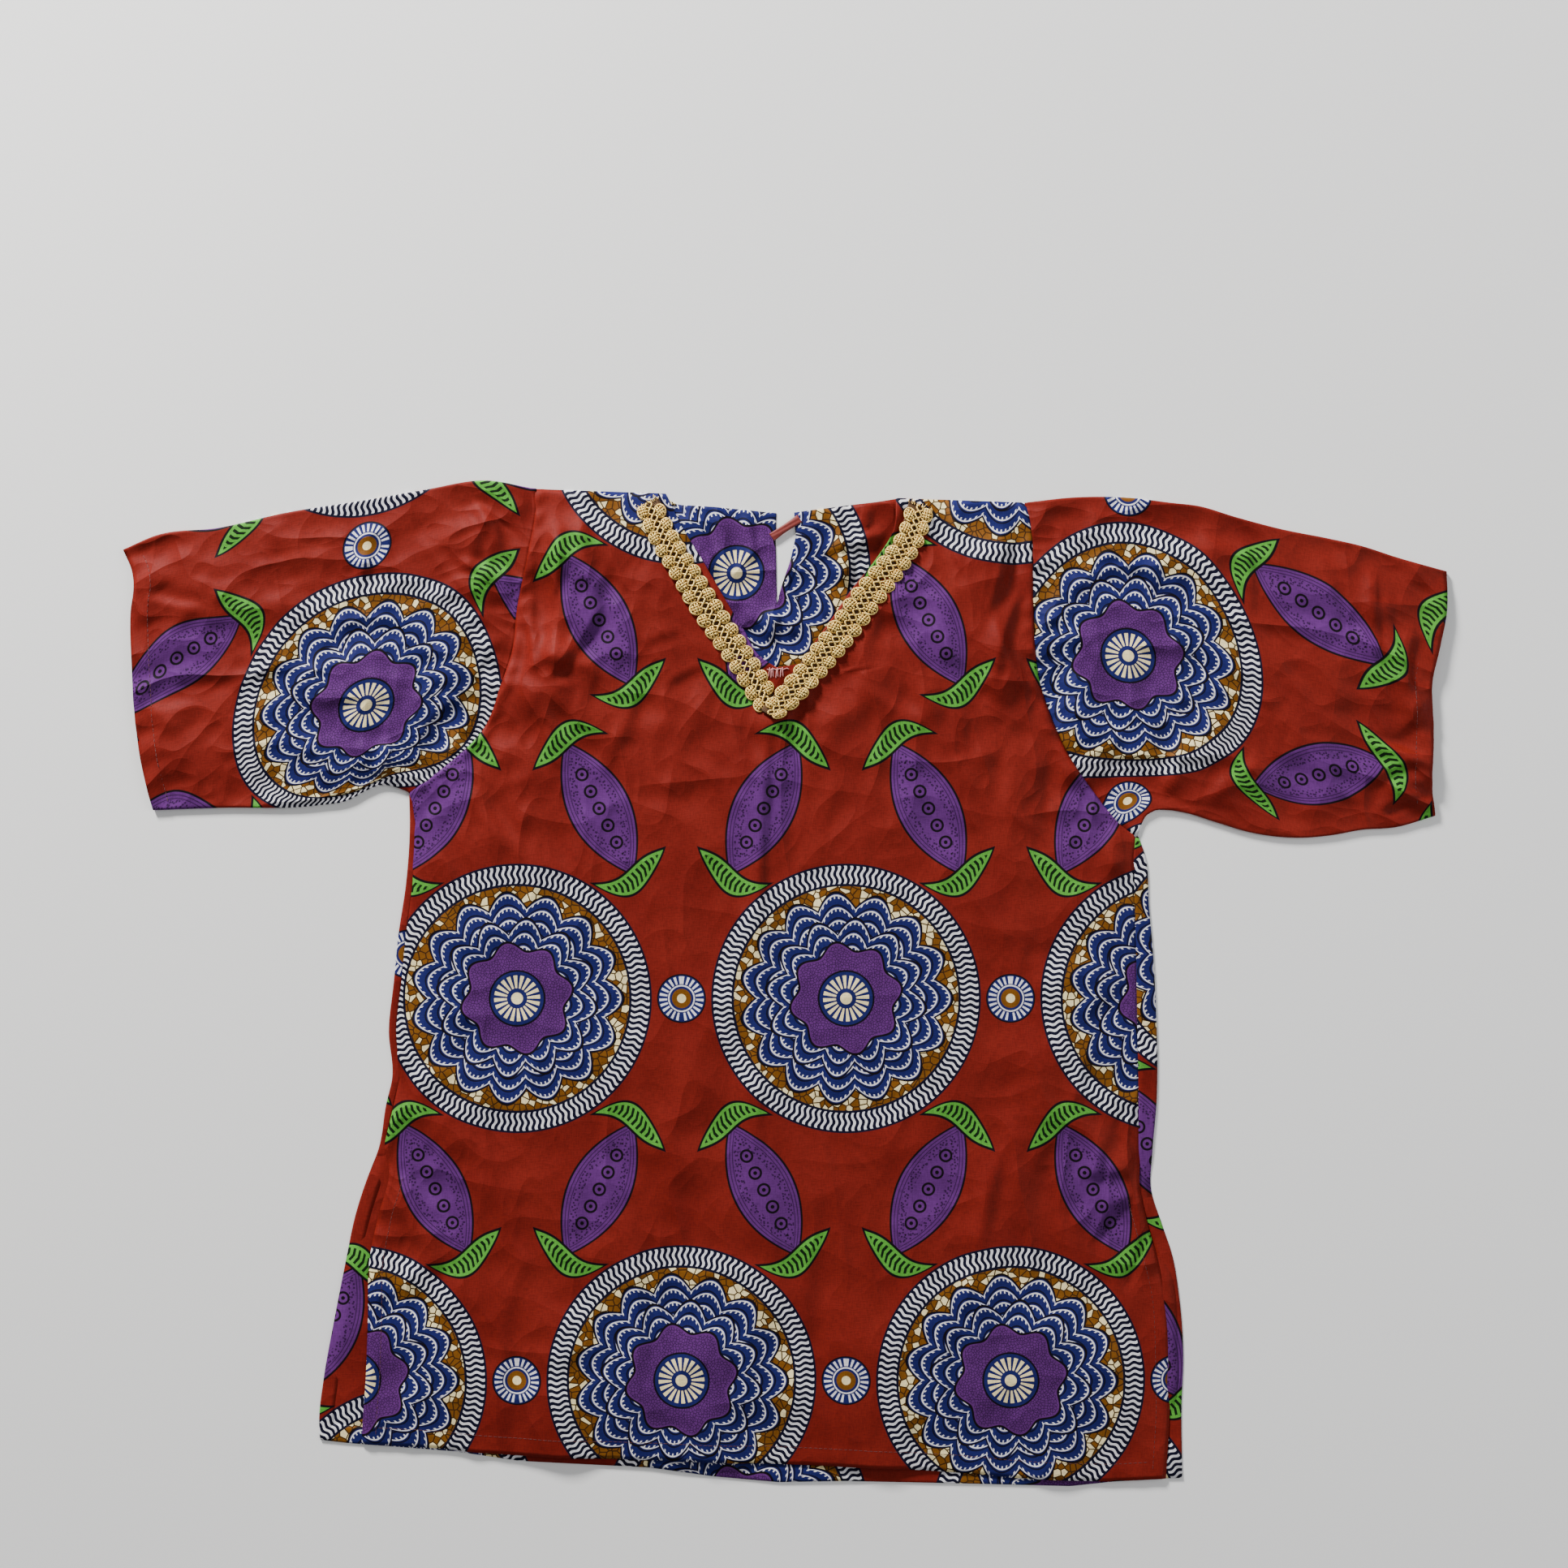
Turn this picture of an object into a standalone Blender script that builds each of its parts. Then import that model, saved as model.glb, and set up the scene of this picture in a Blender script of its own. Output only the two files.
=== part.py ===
# A child's V-neck tunic in printed cotton with a gold braid round the neck.
# It lies flat on its back with the sleeves spread out and the hem towards -Y.
# X runs across the tunic, Y runs from hem to shoulders and Z is up from the surface it lies on.

from math import pi

import bmesh
import bpy
import numpy as np

# Driving dimensions, all in millimetres
WALL = 1.0               # thickness of the cloth walls
LAYER_GAP = 0.3          # air between two layers that lie on each other
SEAM_GAP = 0.35          # air between two pieces that meet edge to edge
CHEST_LIFT = 0.7         # how much higher the front lies beside the armholes
FRONT_LOFT = 1.8         # how far the front stands off the back away from its edges
FRONT_EDGE = 45.0        # distance over which the front rises from its side seams
FOLD_FADE = 14.0         # distance from a side edge over which the folds rise
CHEST_LEVELS = (105.0, 35.0, 282.0, 24.0)   # foot and rise of the chest's lift, top and fall
LOFT_LEVELS = (-285.0, 50.0, 284.0, 36.0)   # the same for the loft, from hem to shoulder
SHOULDER_LEVELS = (286.0, 30.0)             # top of the folds at the shoulder, and their fall
HEM_BOW_LEVELS = (-200.0, 75.0)             # where the hem's bow starts, and its fade
SLEEVE_HEIGHT = 2.6      # height of a flattened sleeve at its seams
SLEEVE_LOFT = 1.6        # how much more it holds in the middle
SLEEVE_FOLD = 1.3        # how far in from the edge the rounded fold reaches
BRAID_CORE = 1.0         # thickness of the braid between its puffs
BRAID_PUFF = 1.0         # how much higher a puff stands
BRAID_SCALLOP = 1.6      # depth of the notches between two scallops
BRAID_ACROSS = (0.0, 0.22, 0.42, 0.58, 0.78, 1.0)   # shares of the width: edges, puffs, cord
BRAID_CROWN = (0.0, 1.0, 0.35, 0.35, 1.0, 0.0)      # share of a puff's height at each of them
SCALLOP_PITCH = 7.83     # length of braid that one scallop takes
BRAID_LIFT = 0.4         # air under the braid
TAB_WIDTH = 5.0          # the small cloth loop that closes the back slit
TAB_RISE = 0.5

# Levels of the hem, slit top, underarm and shoulder on each side, and of the centre of the front
FRONT_LEFT_LEVELS = (-267.0, -107.0, 110.9, 286.7)
FRONT_RIGHT_LEVELS = (-287.0, -119.8, 86.0, 278.7)
CENTRE_X = -4.7
CENTRE_LEVELS = (-278.4, -112.0, 98.0)
NOTCH_LEVEL = 173.5      # lowest point of the V

# Grid of the front: rows between the landmarks, and columns from side to centre
ROWS_BELOW_SLIT = 9
ROWS_TO_UNDERARM = 12
ROWS_TO_NOTCH = 6
ROWS_ARMHOLE = 14
COLUMNS_HALF = 11
SLEEVE_STATIONS = 12
BRAID_STEPS = 4          # grid steps along one scallop

# Armhole seams. Columns: level, x
ARMHOLE_LEFT = (
    (110.9, -217.6), (126.0, -196.5), (143.3, -177.7), (174.4, -164.0), (192.7, -157.9),
    (217.1, -155.1), (248.6, -149.0), (273.5, -144.8), (286.7, -145.7),
)
ARMHOLE_RIGHT = (
    (86.0, 204.4), (90.7, 197.9), (104.8, 183.8), (118.4, 173.4), (134.4, 163.1), (153.2, 154.6),
    (174.4, 147.6), (195.0, 144.8), (222.8, 143.8), (261.3, 142.9), (278.7, 140.5),
)

# Side edges below the underarm. Columns: level, x of the front's edge, x of the back's edge
SIDE_LEFT = (
    (-267.0, -245.3, -269.3), (-253.0, -244.7, -269.8), (-229.4, -243.0, -267.2),
    (-196.5, -241.8, -261.3), (-158.9, -240.6, -253.9), (-135.4, -235.9, -249.0),
    (-107.0, -229.5, -239.6), (-97.8, -231.7, -235.9), (-69.6, -227.5, -230.8),
    (-55.5, -224.2, -227.5), (-27.3, -226.1, -229.4), (0.9, -223.2, -226.5),
    (29.1, -220.4, -223.7), (57.3, -216.7, -219.5), (92.6, -215.0, -217.2),
    (110.9, -217.6, -217.6),
)
SIDE_RIGHT = (
    (-287.0, 220.9, 230.3), (-245.8, 223.2, 229.8), (-215.3, 222.8, 230.8),
    (-181.4, 220.9, 228.4), (-157.4, 215.3, 224.3), (-140.1, 210.5, 218.5),
    (-119.8, 205.9, 212.2), (-97.8, 205.9, 212.9), (-69.6, 205.9, 215.3),
    (-10.8, 204.9, 214.8), (21.1, 204.4, 213.0), (45.6, 203.5, 210.8), (73.8, 202.9, 208.7),
    (86.0, 204.4, 204.4),
)

# How far the front's hem hangs below a straight line. Columns: x, drop
FRONT_HEM_DROP = (
    (-246.0, 0.0), (-197.9, 0.0), (-130.2, 2.0), (-4.7, 0.0), (67.2, -0.2), (133.0, 3.4),
    (187.5, 3.4), (221.0, 0.0),
)

# Hem of the back from left to right. Columns: x, y
BACK_HEM = (
    (-269.3, -264.6), (-252.4, -266.5), (-191.3, -271.2), (-153.7, -276.8), (-78.5, -280.6),
    (-40.9, -285.8), (-3.3, -289.1), (34.3, -288.4), (109.5, -290.0), (165.9, -291.4),
    (203.5, -287.4), (230.3, -286.7),
)

# Neck edge of the back with its slit, from right to left. Columns: x, y
BACK_NECK = (
    (67.2, 281.5), (53.1, 279.2), (15.5, 274.5), (5.8, 273.2), (6.8, 259.4), (3.6, 245.0),
    (-1.0, 231.2), (-3.3, 219.5), (-4.9, 231.2), (-5.3, 245.0), (-5.8, 259.4), (-5.2, 272.8),
    (-40.9, 276.4), (-62.0, 277.6), (-70.0, 281.8),
)

# Neck edge of the front on each side of the V, from the notch up. Columns: x, y
NECK_LEFT = (
    (-4.7, 173.5), (-13.6, 188.8), (-23.8, 205.0), (-35.8, 224.0), (-51.0, 248.3),
    (-60.0, 262.5), (-69.0, 284.0),
)
NECK_RIGHT = (
    (-4.7, 173.5), (3.2, 182.2), (13.6, 196.0), (25.6, 212.0), (37.6, 229.3), (51.5, 246.0),
    (62.0, 261.5), (67.0, 281.5),
)

# Outlines of the sleeves from the armhole out to the cuff. Columns: x, y
SLEEVE_TOP_LEFT = (
    (-145.7, 286.7), (-172.5, 291.4), (-210.1, 285.8), (-243.0, 280.1), (-290.0, 272.6),
    (-327.6, 264.1), (-365.2, 259.4), (-383.5, 251.4),
)
SLEEVE_FOOT_LEFT = (
    (-217.6, 110.9), (-225.0, 113.8), (-234.5, 115.1), (-243.9, 111.4), (-252.4, 106.7),
    (-271.2, 103.4), (-327.6, 102.0), (-366.1, 100.6),
)
CUFF_LEFT = (
    (251.4, -383.5), (240.0, -378.2), (233.6, -376.9), (214.8, -378.8), (177.2, -377.4),
    (139.6, -374.6), (111.4, -368.9), (100.6, -366.1),
)
SLEEVE_TOP_RIGHT = (
    (140.5, 278.7), (165.9, 281.5), (184.7, 282.0), (203.5, 281.1), (222.3, 278.7),
    (241.1, 276.4), (259.9, 270.7), (288.1, 263.2), (316.3, 257.6), (335.1, 253.3),
    (353.9, 247.2), (383.5, 238.8),
)
SLEEVE_FOOT_RIGHT = (
    (204.4, 86.0), (207.8, 95.0), (212.9, 99.6), (222.3, 100.6), (231.7, 99.2), (250.5, 93.5),
    (269.3, 87.9), (297.5, 84.6), (316.3, 86.0), (335.1, 89.3), (353.9, 90.7), (376.9, 97.3),
)
CUFF_RIGHT = (
    (238.8, 383.5), (214.8, 383.0), (196.0, 379.3), (177.2, 375.1), (139.6, 375.5),
    (120.8, 374.1), (97.3, 376.9),
)

# The braid's two edges. Columns: length along it, inner x, inner y, outer x, outer y
BRAID_EDGES = (
    (0.0, -72.4, 283.0, -87.0, 275.0),
    (23.0, -62.0, 261.3, -77.0, 253.0),
    (40.0, -53.1, 247.2, -68.3, 238.5),
    (69.0, -37.6, 222.8, -54.0, 213.5),
    (91.0, -25.4, 204.0, -41.0, 194.8),
    (110.0, -15.0, 188.0, -30.0, 178.8),
    (124.0, -7.0, 175.8, -21.5, 163.5),
    (132.0, -5.4, 174.6, -15.0, 153.6),
    (139.0, -4.7, 174.3, -8.5, 151.8),
    (146.0, -4.0, 174.6, -1.5, 153.8),
    (153.0, -2.4, 175.6, 9.6, 163.8),
    (162.0, 4.2, 181.6, 19.8, 173.5),
    (179.0, 14.6, 195.0, 31.0, 186.3),
    (199.0, 26.8, 211.0, 43.6, 201.8),
    (220.0, 39.0, 228.4, 56.5, 219.0),
    (242.0, 53.1, 245.3, 69.8, 237.0),
    (262.0, 64.9, 261.3, 80.2, 254.0),
    (282.0, 71.0, 281.0, 86.8, 273.6),
)

# The back tab's middle line from one end to the other. Columns: x, y
TAB_ENDS = ((-7.6, 258.6), (8.6, 269.6))

# Large soft folds of the front. Columns: name, x and y of both ends, height, half width
FRONT_FOLDS = (
    ("centre crease", -8.0, 150.0, -17.0, 29.0, 2.2, 9.0),
    ("lower centre", -15.0, -65.0, -20.0, -229.0, 2.0, 16.0),
    ("left chest", -125.5, 258.0, -130.0, 170.0, 3.4, 16.0),
    ("left of the braid", -90.0, 212.0, -111.0, 156.0, 2.0, 12.0),
    ("left armhole", -136.0, 190.0, -164.0, 132.0, 2.4, 9.0),
    ("right chest", 116.6, 245.0, 128.3, 170.0, 3.0, 11.0),
    ("right of the braid", 93.0, 222.0, 86.0, 161.0, 2.0, 10.0),
    ("under the braid", 70.0, 198.0, 28.0, 150.0, 1.6, 10.0),
    ("right underarm", 168.0, 130.0, 194.0, 72.0, 2.5, 8.0),
    ("left waist", -215.0, -32.0, -188.0, -88.0, 1.5, 11.0),
    ("left of centre", -41.0, -13.0, -64.0, -98.0, 2.0, 16.0),
    ("right of centre", 156.0, -41.0, 110.0, -182.0, 2.5, 15.0),
    ("right slit", 193.0, -104.0, 211.0, -164.0, 2.6, 8.0),
    ("left slit", -217.0, -118.0, -191.0, -182.0, 2.0, 11.0),
    ("hem wave one", -135.0, -201.0, -130.0, -274.0, 2.5, 18.0),
    ("hem wave two", -45.6, -206.0, -41.0, -276.0, 2.0, 18.0),
    ("hem wave three", 53.0, -206.0, 57.8, -276.0, 2.5, 20.0),
    ("hem wave four", 152.0, -206.0, 156.5, -286.0, 2.5, 20.0),
)

# Large soft folds of the sleeves, with the same columns
SLEEVE_FOLDS = (
    ("left shoulder", -178.0, 274.0, -163.0, 231.0, 2.2, 9.0),
    ("left cuff", -372.0, 233.6, -299.0, 222.0, 2.0, 10.0),
    ("left underarm", -232.0, 118.0, -257.0, 165.0, 2.6, 11.0),
    ("left middle", -214.0, 168.0, -296.0, 184.0, 1.6, 14.0),
    ("right shoulder", 278.7, 258.0, 222.0, 240.0, 2.0, 14.0),
    ("right armhole", 160.0, 193.6, 180.0, 136.0, 2.0, 9.0),
    ("right underarm", 214.0, 104.0, 250.5, 146.6, 2.5, 10.0),
    ("right upper crease", 342.0, 238.0, 340.0, 179.5, 2.0, 9.0),
    ("right cuff", 344.5, 215.0, 368.0, 156.0, 1.5, 8.0),
    ("right lower fold", 316.3, 97.0, 372.0, 124.0, 3.0, 11.0),
)

MM = 0.001

# Finishes. Columns: name, colour, roughness, metallic
COTTON = ("printed cotton", (0.32, 0.036, 0.027, 1.0), 0.62, 0.0)
COTTON_BACK = ("printed cotton back", (0.20, 0.022, 0.05, 1.0), 0.66, 0.0)
COTTON_SLEEVE_LEFT = ("printed cotton left sleeve", (0.29, 0.034, 0.030, 1.0), 0.62, 0.0)
COTTON_SLEEVE_RIGHT = ("printed cotton right sleeve", (0.30, 0.035, 0.032, 1.0), 0.62, 0.0)
GOLD_BRAID = ("gold braid", (0.58, 0.40, 0.17, 1.0), 0.38, 0.75)
RED_TAB = ("red tab", (0.30, 0.03, 0.025, 1.0), 0.65, 0.0)


def clear_scene():
    for item in list(bpy.context.scene.objects):
        bpy.data.objects.remove(item, do_unlink=True)


def make_collection(name):
    collection = bpy.data.collections.new(name)
    bpy.context.scene.collection.children.link(collection)
    return collection


def make_material(finish):
    name, colour, roughness, metallic = finish
    material = bpy.data.materials.new(name)
    material.use_nodes = True
    shader = material.node_tree.nodes["Principled BSDF"]
    shader.inputs["Base Color"].default_value = colour
    shader.inputs["Roughness"].default_value = roughness
    shader.inputs["Metallic"].default_value = metallic
    material.diffuse_color = colour
    return material


def smoothstep(value):
    value = np.clip(value, 0.0, 1.0)
    return value * value * (3.0 - 2.0 * value)


def between(level, limits):
    # 1 between the foot and the top level, with a smooth rise above one and fall below the other
    foot, rise, top, fall = limits
    return smoothstep((level - foot) / rise) * smoothstep((top - level) / fall)


def columns(table):
    return np.array(table, float).T


def fold_height(x, y, folds):
    # Each fold is a round-topped ridge along the line between its two ends
    total = np.zeros_like(x)
    for _, x0, y0, x1, y1, height, half_width in folds:
        length_squared = (x1 - x0) ** 2 + (y1 - y0) ** 2
        along = ((x - x0) * (x1 - x0) + (y - y0) * (y1 - y0)) / length_squared
        along = np.clip(along, 0.0, 1.0)
        off_x = x - x0 - along * (x1 - x0)
        off_y = y - y0 - along * (y1 - y0)
        total += height * np.exp(-(off_x**2 + off_y**2) / half_width**2)
    return total


def front_edge_x(level, armhole, side):
    # x of the front's edge at a level: the side table below the underarm, the armhole above it
    arm_level, arm_x = columns(armhole)
    side_level, side_x, _ = columns(side)
    below = np.interp(level, side_level, side_x)
    above = np.interp(level, arm_level, arm_x)
    return np.where(level < arm_level[0], below, above)


def front_underside(x, y):
    # Height of the front's underside: lowest at its edges, with the folds on top
    to_left = x - front_edge_x(y, ARMHOLE_LEFT, SIDE_LEFT)
    to_right = front_edge_x(y, ARMHOLE_RIGHT, SIDE_RIGHT) - x
    inward = smoothstep(np.minimum(to_left, to_right) / FRONT_EDGE)
    height = WALL + LAYER_GAP + CHEST_LIFT * between(y, CHEST_LEVELS)
    height += FRONT_LOFT * inward * between(y, LOFT_LEVELS)
    near_side = smoothstep(np.minimum(to_left, to_right) / FOLD_FADE)
    top, fall = SHOULDER_LEVELS
    near_shoulder = smoothstep((top - y) / fall)
    return height + fold_height(x, y, FRONT_FOLDS) * near_side * near_shoulder


def offset_line(points, distance):
    # Moves a line of points sideways by the distance, to its right as it runs
    along = np.gradient(points, axis=0)
    along /= np.linalg.norm(along, axis=1)[:, None]
    sideways = np.stack([along[:, 1], -along[:, 0]], axis=1)
    return points + distance * sideways


def armhole_points(armhole):
    # The seam's points from the underarm up, one for each row of the panels beside it
    level, x = columns(armhole)
    rows = np.linspace(level[0], level[-1], ROWS_ARMHOLE + 1)
    return np.stack([np.interp(rows, level, x), rows], axis=1)


def side_points(levels, side, armhole):
    # Points up one side of the front, from the hem to the shoulder
    level, x, _ = columns(side)
    low = np.linspace(levels[0], levels[1], ROWS_BELOW_SLIT + 1)[:-1]
    middle = np.linspace(levels[1], levels[2], ROWS_TO_UNDERARM + 1)[:-1]
    rows = np.concatenate([low, middle])
    below = np.stack([np.interp(rows, level, x), rows], axis=1)
    return np.vstack([below, armhole_points(armhole)])


def inner_points(neck):
    # Points up the centre line to the notch and then along one side of the V
    hem, slit, underarm = CENTRE_LEVELS
    low = np.linspace(hem, slit, ROWS_BELOW_SLIT + 1)[:-1]
    middle = np.linspace(slit, underarm, ROWS_TO_UNDERARM + 1)[:-1]
    chest = np.linspace(underarm, NOTCH_LEVEL, ROWS_TO_NOTCH + 1)[:-1]
    centre = np.concatenate([low, middle, chest])
    centre = np.stack([np.full_like(centre, CENTRE_X), centre], axis=1)
    neck_x, neck_y = columns(neck)
    rows = np.linspace(neck_y[0], neck_y[-1], ROWS_ARMHOLE - ROWS_TO_NOTCH + 1)
    edge = np.stack([np.interp(rows, neck_y, neck_x), rows], axis=1)
    return np.vstack([centre, edge])


def front_half(levels, side, armhole, neck):
    # Straight rows from the side edge to the inner edge, with the hem's bow added
    outer = side_points(levels, side, armhole)
    inner = inner_points(neck)
    across = np.linspace(0.0, 1.0, COLUMNS_HALF + 1)[None, :, None]
    plan = outer[:, None, :] * (1.0 - across) + inner[:, None, :] * across
    x, y = plan[..., 0], plan[..., 1]
    drop_x, drop = columns(FRONT_HEM_DROP)
    start, fade = HEM_BOW_LEVELS
    y = y - np.interp(x, drop_x, drop) * smoothstep((start - y) / fade)
    return np.stack([x, y, front_underside(x, y)], axis=2)


def add_grid(mesh, points, upward):
    # Puts a grid of points into a bmesh as square faces
    rows, cols, _ = points.shape
    corners = [[mesh.verts.new(point * MM) for point in row] for row in points]
    for i in range(rows - 1):
        for j in range(cols - 1):
            ring = [corners[i][j], corners[i][j + 1], corners[i + 1][j + 1], corners[i + 1][j]]
            mesh.faces.new(ring if upward else ring[::-1])


def mesh_object(name, mesh, collection, finish):
    # Turns a bmesh into a named object with its own material
    data = bpy.data.meshes.new(name)
    mesh.to_mesh(data)
    mesh.free()
    item = bpy.data.objects.new(name, data)
    item.data.materials.append(make_material(finish))
    collection.objects.link(item)
    return item


def thicken(item, offset):
    solid = item.modifiers.new("cloth wall", "SOLIDIFY")
    solid.thickness = WALL * MM
    solid.offset = offset
    solid.use_even_offset = True
    solid.use_quality_normals = True


def make_front(collection):
    mesh = bmesh.new()
    left = front_half(FRONT_LEFT_LEVELS, SIDE_LEFT, ARMHOLE_LEFT, NECK_LEFT)
    right = front_half(FRONT_RIGHT_LEVELS, SIDE_RIGHT, ARMHOLE_RIGHT, NECK_RIGHT)
    add_grid(mesh, left, True)
    add_grid(mesh, right, False)
    bmesh.ops.remove_doubles(mesh, verts=mesh.verts, dist=0.00001)
    thicken(mesh_object("front", mesh, collection, COTTON), 1.0)


def flat_outline(name, outline, collection, finish):
    # A filled 2D curve whose extrude is half the cloth's thickness
    curve = bpy.data.curves.new(name, "CURVE")
    curve.dimensions = "2D"
    curve.fill_mode = "BOTH"
    curve.extrude = WALL * MM / 2.0
    spline = curve.splines.new("POLY")
    spline.points.add(len(outline) - 1)
    for point, (x, y) in zip(spline.points, outline):
        point.co = (x * MM, y * MM, 0.0, 1.0)
    spline.use_cyclic_u = True
    item = bpy.data.objects.new(name, curve)
    item.location.z = WALL * MM / 2.0
    item.data.materials.append(make_material(finish))
    collection.objects.link(item)


def back_side(side):
    # Points of the back's edge below the underarm, from the hem up
    level, _, back_x = columns(side)
    return np.stack([back_x, level], axis=1)[1:-1]


def make_back(collection):
    outline = np.vstack([
        np.array(BACK_HEM),
        back_side(SIDE_RIGHT),
        armhole_points(ARMHOLE_RIGHT),
        np.array(BACK_NECK),
        armhole_points(ARMHOLE_LEFT)[::-1],
        back_side(SIDE_LEFT)[::-1],
    ])
    flat_outline("back", outline, collection, COTTON_BACK)


def sleeve_plan(armhole, top, foot, cuff, outward):
    # Blends the four edges of the sleeve: armhole and cuff across, top and foot along
    seam = offset_line(armhole_points(armhole), outward * SEAM_GAP)[::-1]
    down = np.linspace(0.0, 1.0, ROWS_ARMHOLE + 1)
    along = np.linspace(0.0, 1.0, SLEEVE_STATIONS + 1) ** 1.3
    cuff_y, cuff_x = columns(cuff)
    cuff_rows = cuff_y[0] + (cuff_y[-1] - cuff_y[0]) * down
    cuff_line = np.stack([np.interp(-cuff_rows, -cuff_y, cuff_x), cuff_rows], axis=1)
    edges = []
    for table, start, end in ((top, seam[0], cuff_line[0]), (foot, seam[-1], cuff_line[-1])):
        edge_x, edge_y = columns(table)
        x = start[0] + (end[0] - start[0]) * along
        y = np.interp(outward * x, outward * edge_x, edge_y)
        edge = np.stack([x, y], axis=1)
        edge[0] = start
        edges.append(edge)
    u = along[:, None, None]
    v = down[None, :, None]
    across = (1.0 - u) * seam[None] + u * cuff_line[None]
    lengthwise = (1.0 - v) * edges[0][:, None] + v * edges[1][:, None]
    corners = (1.0 - v) * ((1.0 - u) * seam[0] + u * cuff_line[0])
    corners = corners + v * ((1.0 - u) * seam[-1] + u * cuff_line[-1])
    return across + lengthwise - corners


def sleeve_rings(plan):
    # One closed ring for each station: rounded fold, upper layer, rounded fold, lower layer
    rows, cols, _ = plan.shape
    inset = plan.copy()
    for edge, inside in ((0, 1), (cols - 1, cols - 2)):
        inward = plan[:, inside] - plan[:, edge]
        inward /= np.linalg.norm(inward, axis=1)[:, None]
        inset[:, edge] = plan[:, edge] + SLEEVE_FOLD * inward
    u = np.linspace(0.0, 1.0, rows)[:, None]
    v = np.linspace(0.0, 1.0, cols)[None, :]
    x, y = inset[..., 0], inset[..., 1]
    inward = smoothstep(np.minimum(v, 1.0 - v) / 0.25)
    loft = SLEEVE_LOFT * inward * smoothstep(u / 0.2)
    folds = fold_height(x, y, SLEEVE_FOLDS) * inward * smoothstep(u / 0.12)
    upper = np.dstack([inset, SLEEVE_HEIGHT + loft + folds])
    lower = np.dstack([inset, np.zeros((rows, cols))])
    middle = np.full((rows, 1, 1), SLEEVE_HEIGHT / 2.0)
    first_fold = np.concatenate([plan[:, :1], middle], axis=2)
    last_fold = np.concatenate([plan[:, -1:], middle], axis=2)
    rings = np.concatenate([first_fold, upper, last_fold, lower[:, ::-1]], axis=1)
    return np.concatenate([rings, rings[:, :1]], axis=1)


def make_sleeve(name, armhole, top, foot, cuff, outward, collection, finish):
    mesh = bmesh.new()
    plan = sleeve_plan(armhole, top, foot, cuff, outward)
    add_grid(mesh, sleeve_rings(plan), outward > 0.0)
    bmesh.ops.remove_doubles(mesh, verts=mesh.verts, dist=0.00001)
    thicken(mesh_object(name, mesh, collection, finish), -1.0)


def braid_points():
    # Upper and lower grid of the braid: scalloped edges, two rows of puffs and a middle cord
    length, inner_x, inner_y, outer_x, outer_y = columns(BRAID_EDGES)
    scallops = round(length[-1] / SCALLOP_PITCH)
    along = np.linspace(0.0, length[-1], scallops * BRAID_STEPS + 1)
    inner = np.stack([np.interp(along, length, inner_x), np.interp(along, length, inner_y)], axis=1)
    outer = np.stack([np.interp(along, length, outer_x), np.interp(along, length, outer_y)], axis=1)
    puff = np.abs(np.sin(pi * along / length[-1] * scallops))[:, None]
    width = np.linalg.norm(outer - inner, axis=1)[:, None]
    notch = BRAID_SCALLOP * (1.0 - puff) / width
    across = notch + (1.0 - 2.0 * notch) * np.array(BRAID_ACROSS)[None, :]
    plan = inner[:, None] + across[..., None] * (outer - inner)[:, None]
    x, y = plan[..., 0], plan[..., 1]
    lower = front_underside(x, y) + WALL + BRAID_LIFT
    crown = np.array(BRAID_CROWN)[None, :]
    upper = lower + BRAID_CORE * (0.6 + 0.4 * crown) + BRAID_PUFF * crown * (0.3 + 0.7 * puff)
    return np.dstack([plan, upper]), np.dstack([plan, lower])


def make_braid(collection):
    upper, lower = braid_points()
    around = np.concatenate([upper, lower[:, ::-1], upper[:, :1]], axis=1)
    mesh = bmesh.new()
    add_grid(mesh, around, False)
    bmesh.ops.remove_doubles(mesh, verts=mesh.verts, dist=0.00001)
    ends = [edge for edge in mesh.edges if edge.is_boundary]
    bmesh.ops.holes_fill(mesh, edges=ends)
    bmesh.ops.recalc_face_normals(mesh, faces=mesh.faces)
    mesh_object("neck_braid", mesh, collection, GOLD_BRAID)


def make_back_tab(collection):
    # A short cloth strip that bridges the slit in a low arch
    start, end = np.array(TAB_ENDS)
    sideways = np.array([start[1] - end[1], end[0] - start[0]])
    sideways = sideways / np.linalg.norm(sideways) * TAB_WIDTH / 2.0
    along = np.linspace(0.0, 1.0, 7)[:, None, None]
    side = np.array([-1.0, 1.0])[None, :, None]
    plan = start + along * (end - start) + side * sideways
    height = WALL + LAYER_GAP + TAB_RISE * np.sin(pi * along)
    points = np.concatenate([plan, np.broadcast_to(height, plan.shape[:2] + (1,))], axis=2)
    mesh = bmesh.new()
    add_grid(mesh, points, False)
    thicken(mesh_object("back_tab", mesh, collection, RED_TAB), 1.0)


def main():
    clear_scene()
    tunic = make_collection("african_print_blouse")
    make_front(tunic)
    make_back(tunic)
    make_sleeve("sleeve_left", ARMHOLE_LEFT, SLEEVE_TOP_LEFT, SLEEVE_FOOT_LEFT, CUFF_LEFT,
                -1.0, tunic, COTTON_SLEEVE_LEFT)
    make_sleeve("sleeve_right", ARMHOLE_RIGHT, SLEEVE_TOP_RIGHT, SLEEVE_FOOT_RIGHT, CUFF_RIGHT,
                1.0, tunic, COTTON_SLEEVE_RIGHT)
    make_braid(tunic)
    make_back_tab(tunic)


main()
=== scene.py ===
# %% [markdown]
# # A wax-print tunic laid flat
# This lesson dresses the solids of a child's cotton tunic so that they look like real cloth. The
# tunic lies on its back: the back panel is underneath, the front panel rests on it, the two sleeves
# are flattened tubes, and a gold braid runs round the V of the neck. Every number for a place on
# the tunic is in millimetres, with X across, Y from hem to shoulders and Z up from the floor.

# %% Load the frame
from math import pi

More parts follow.
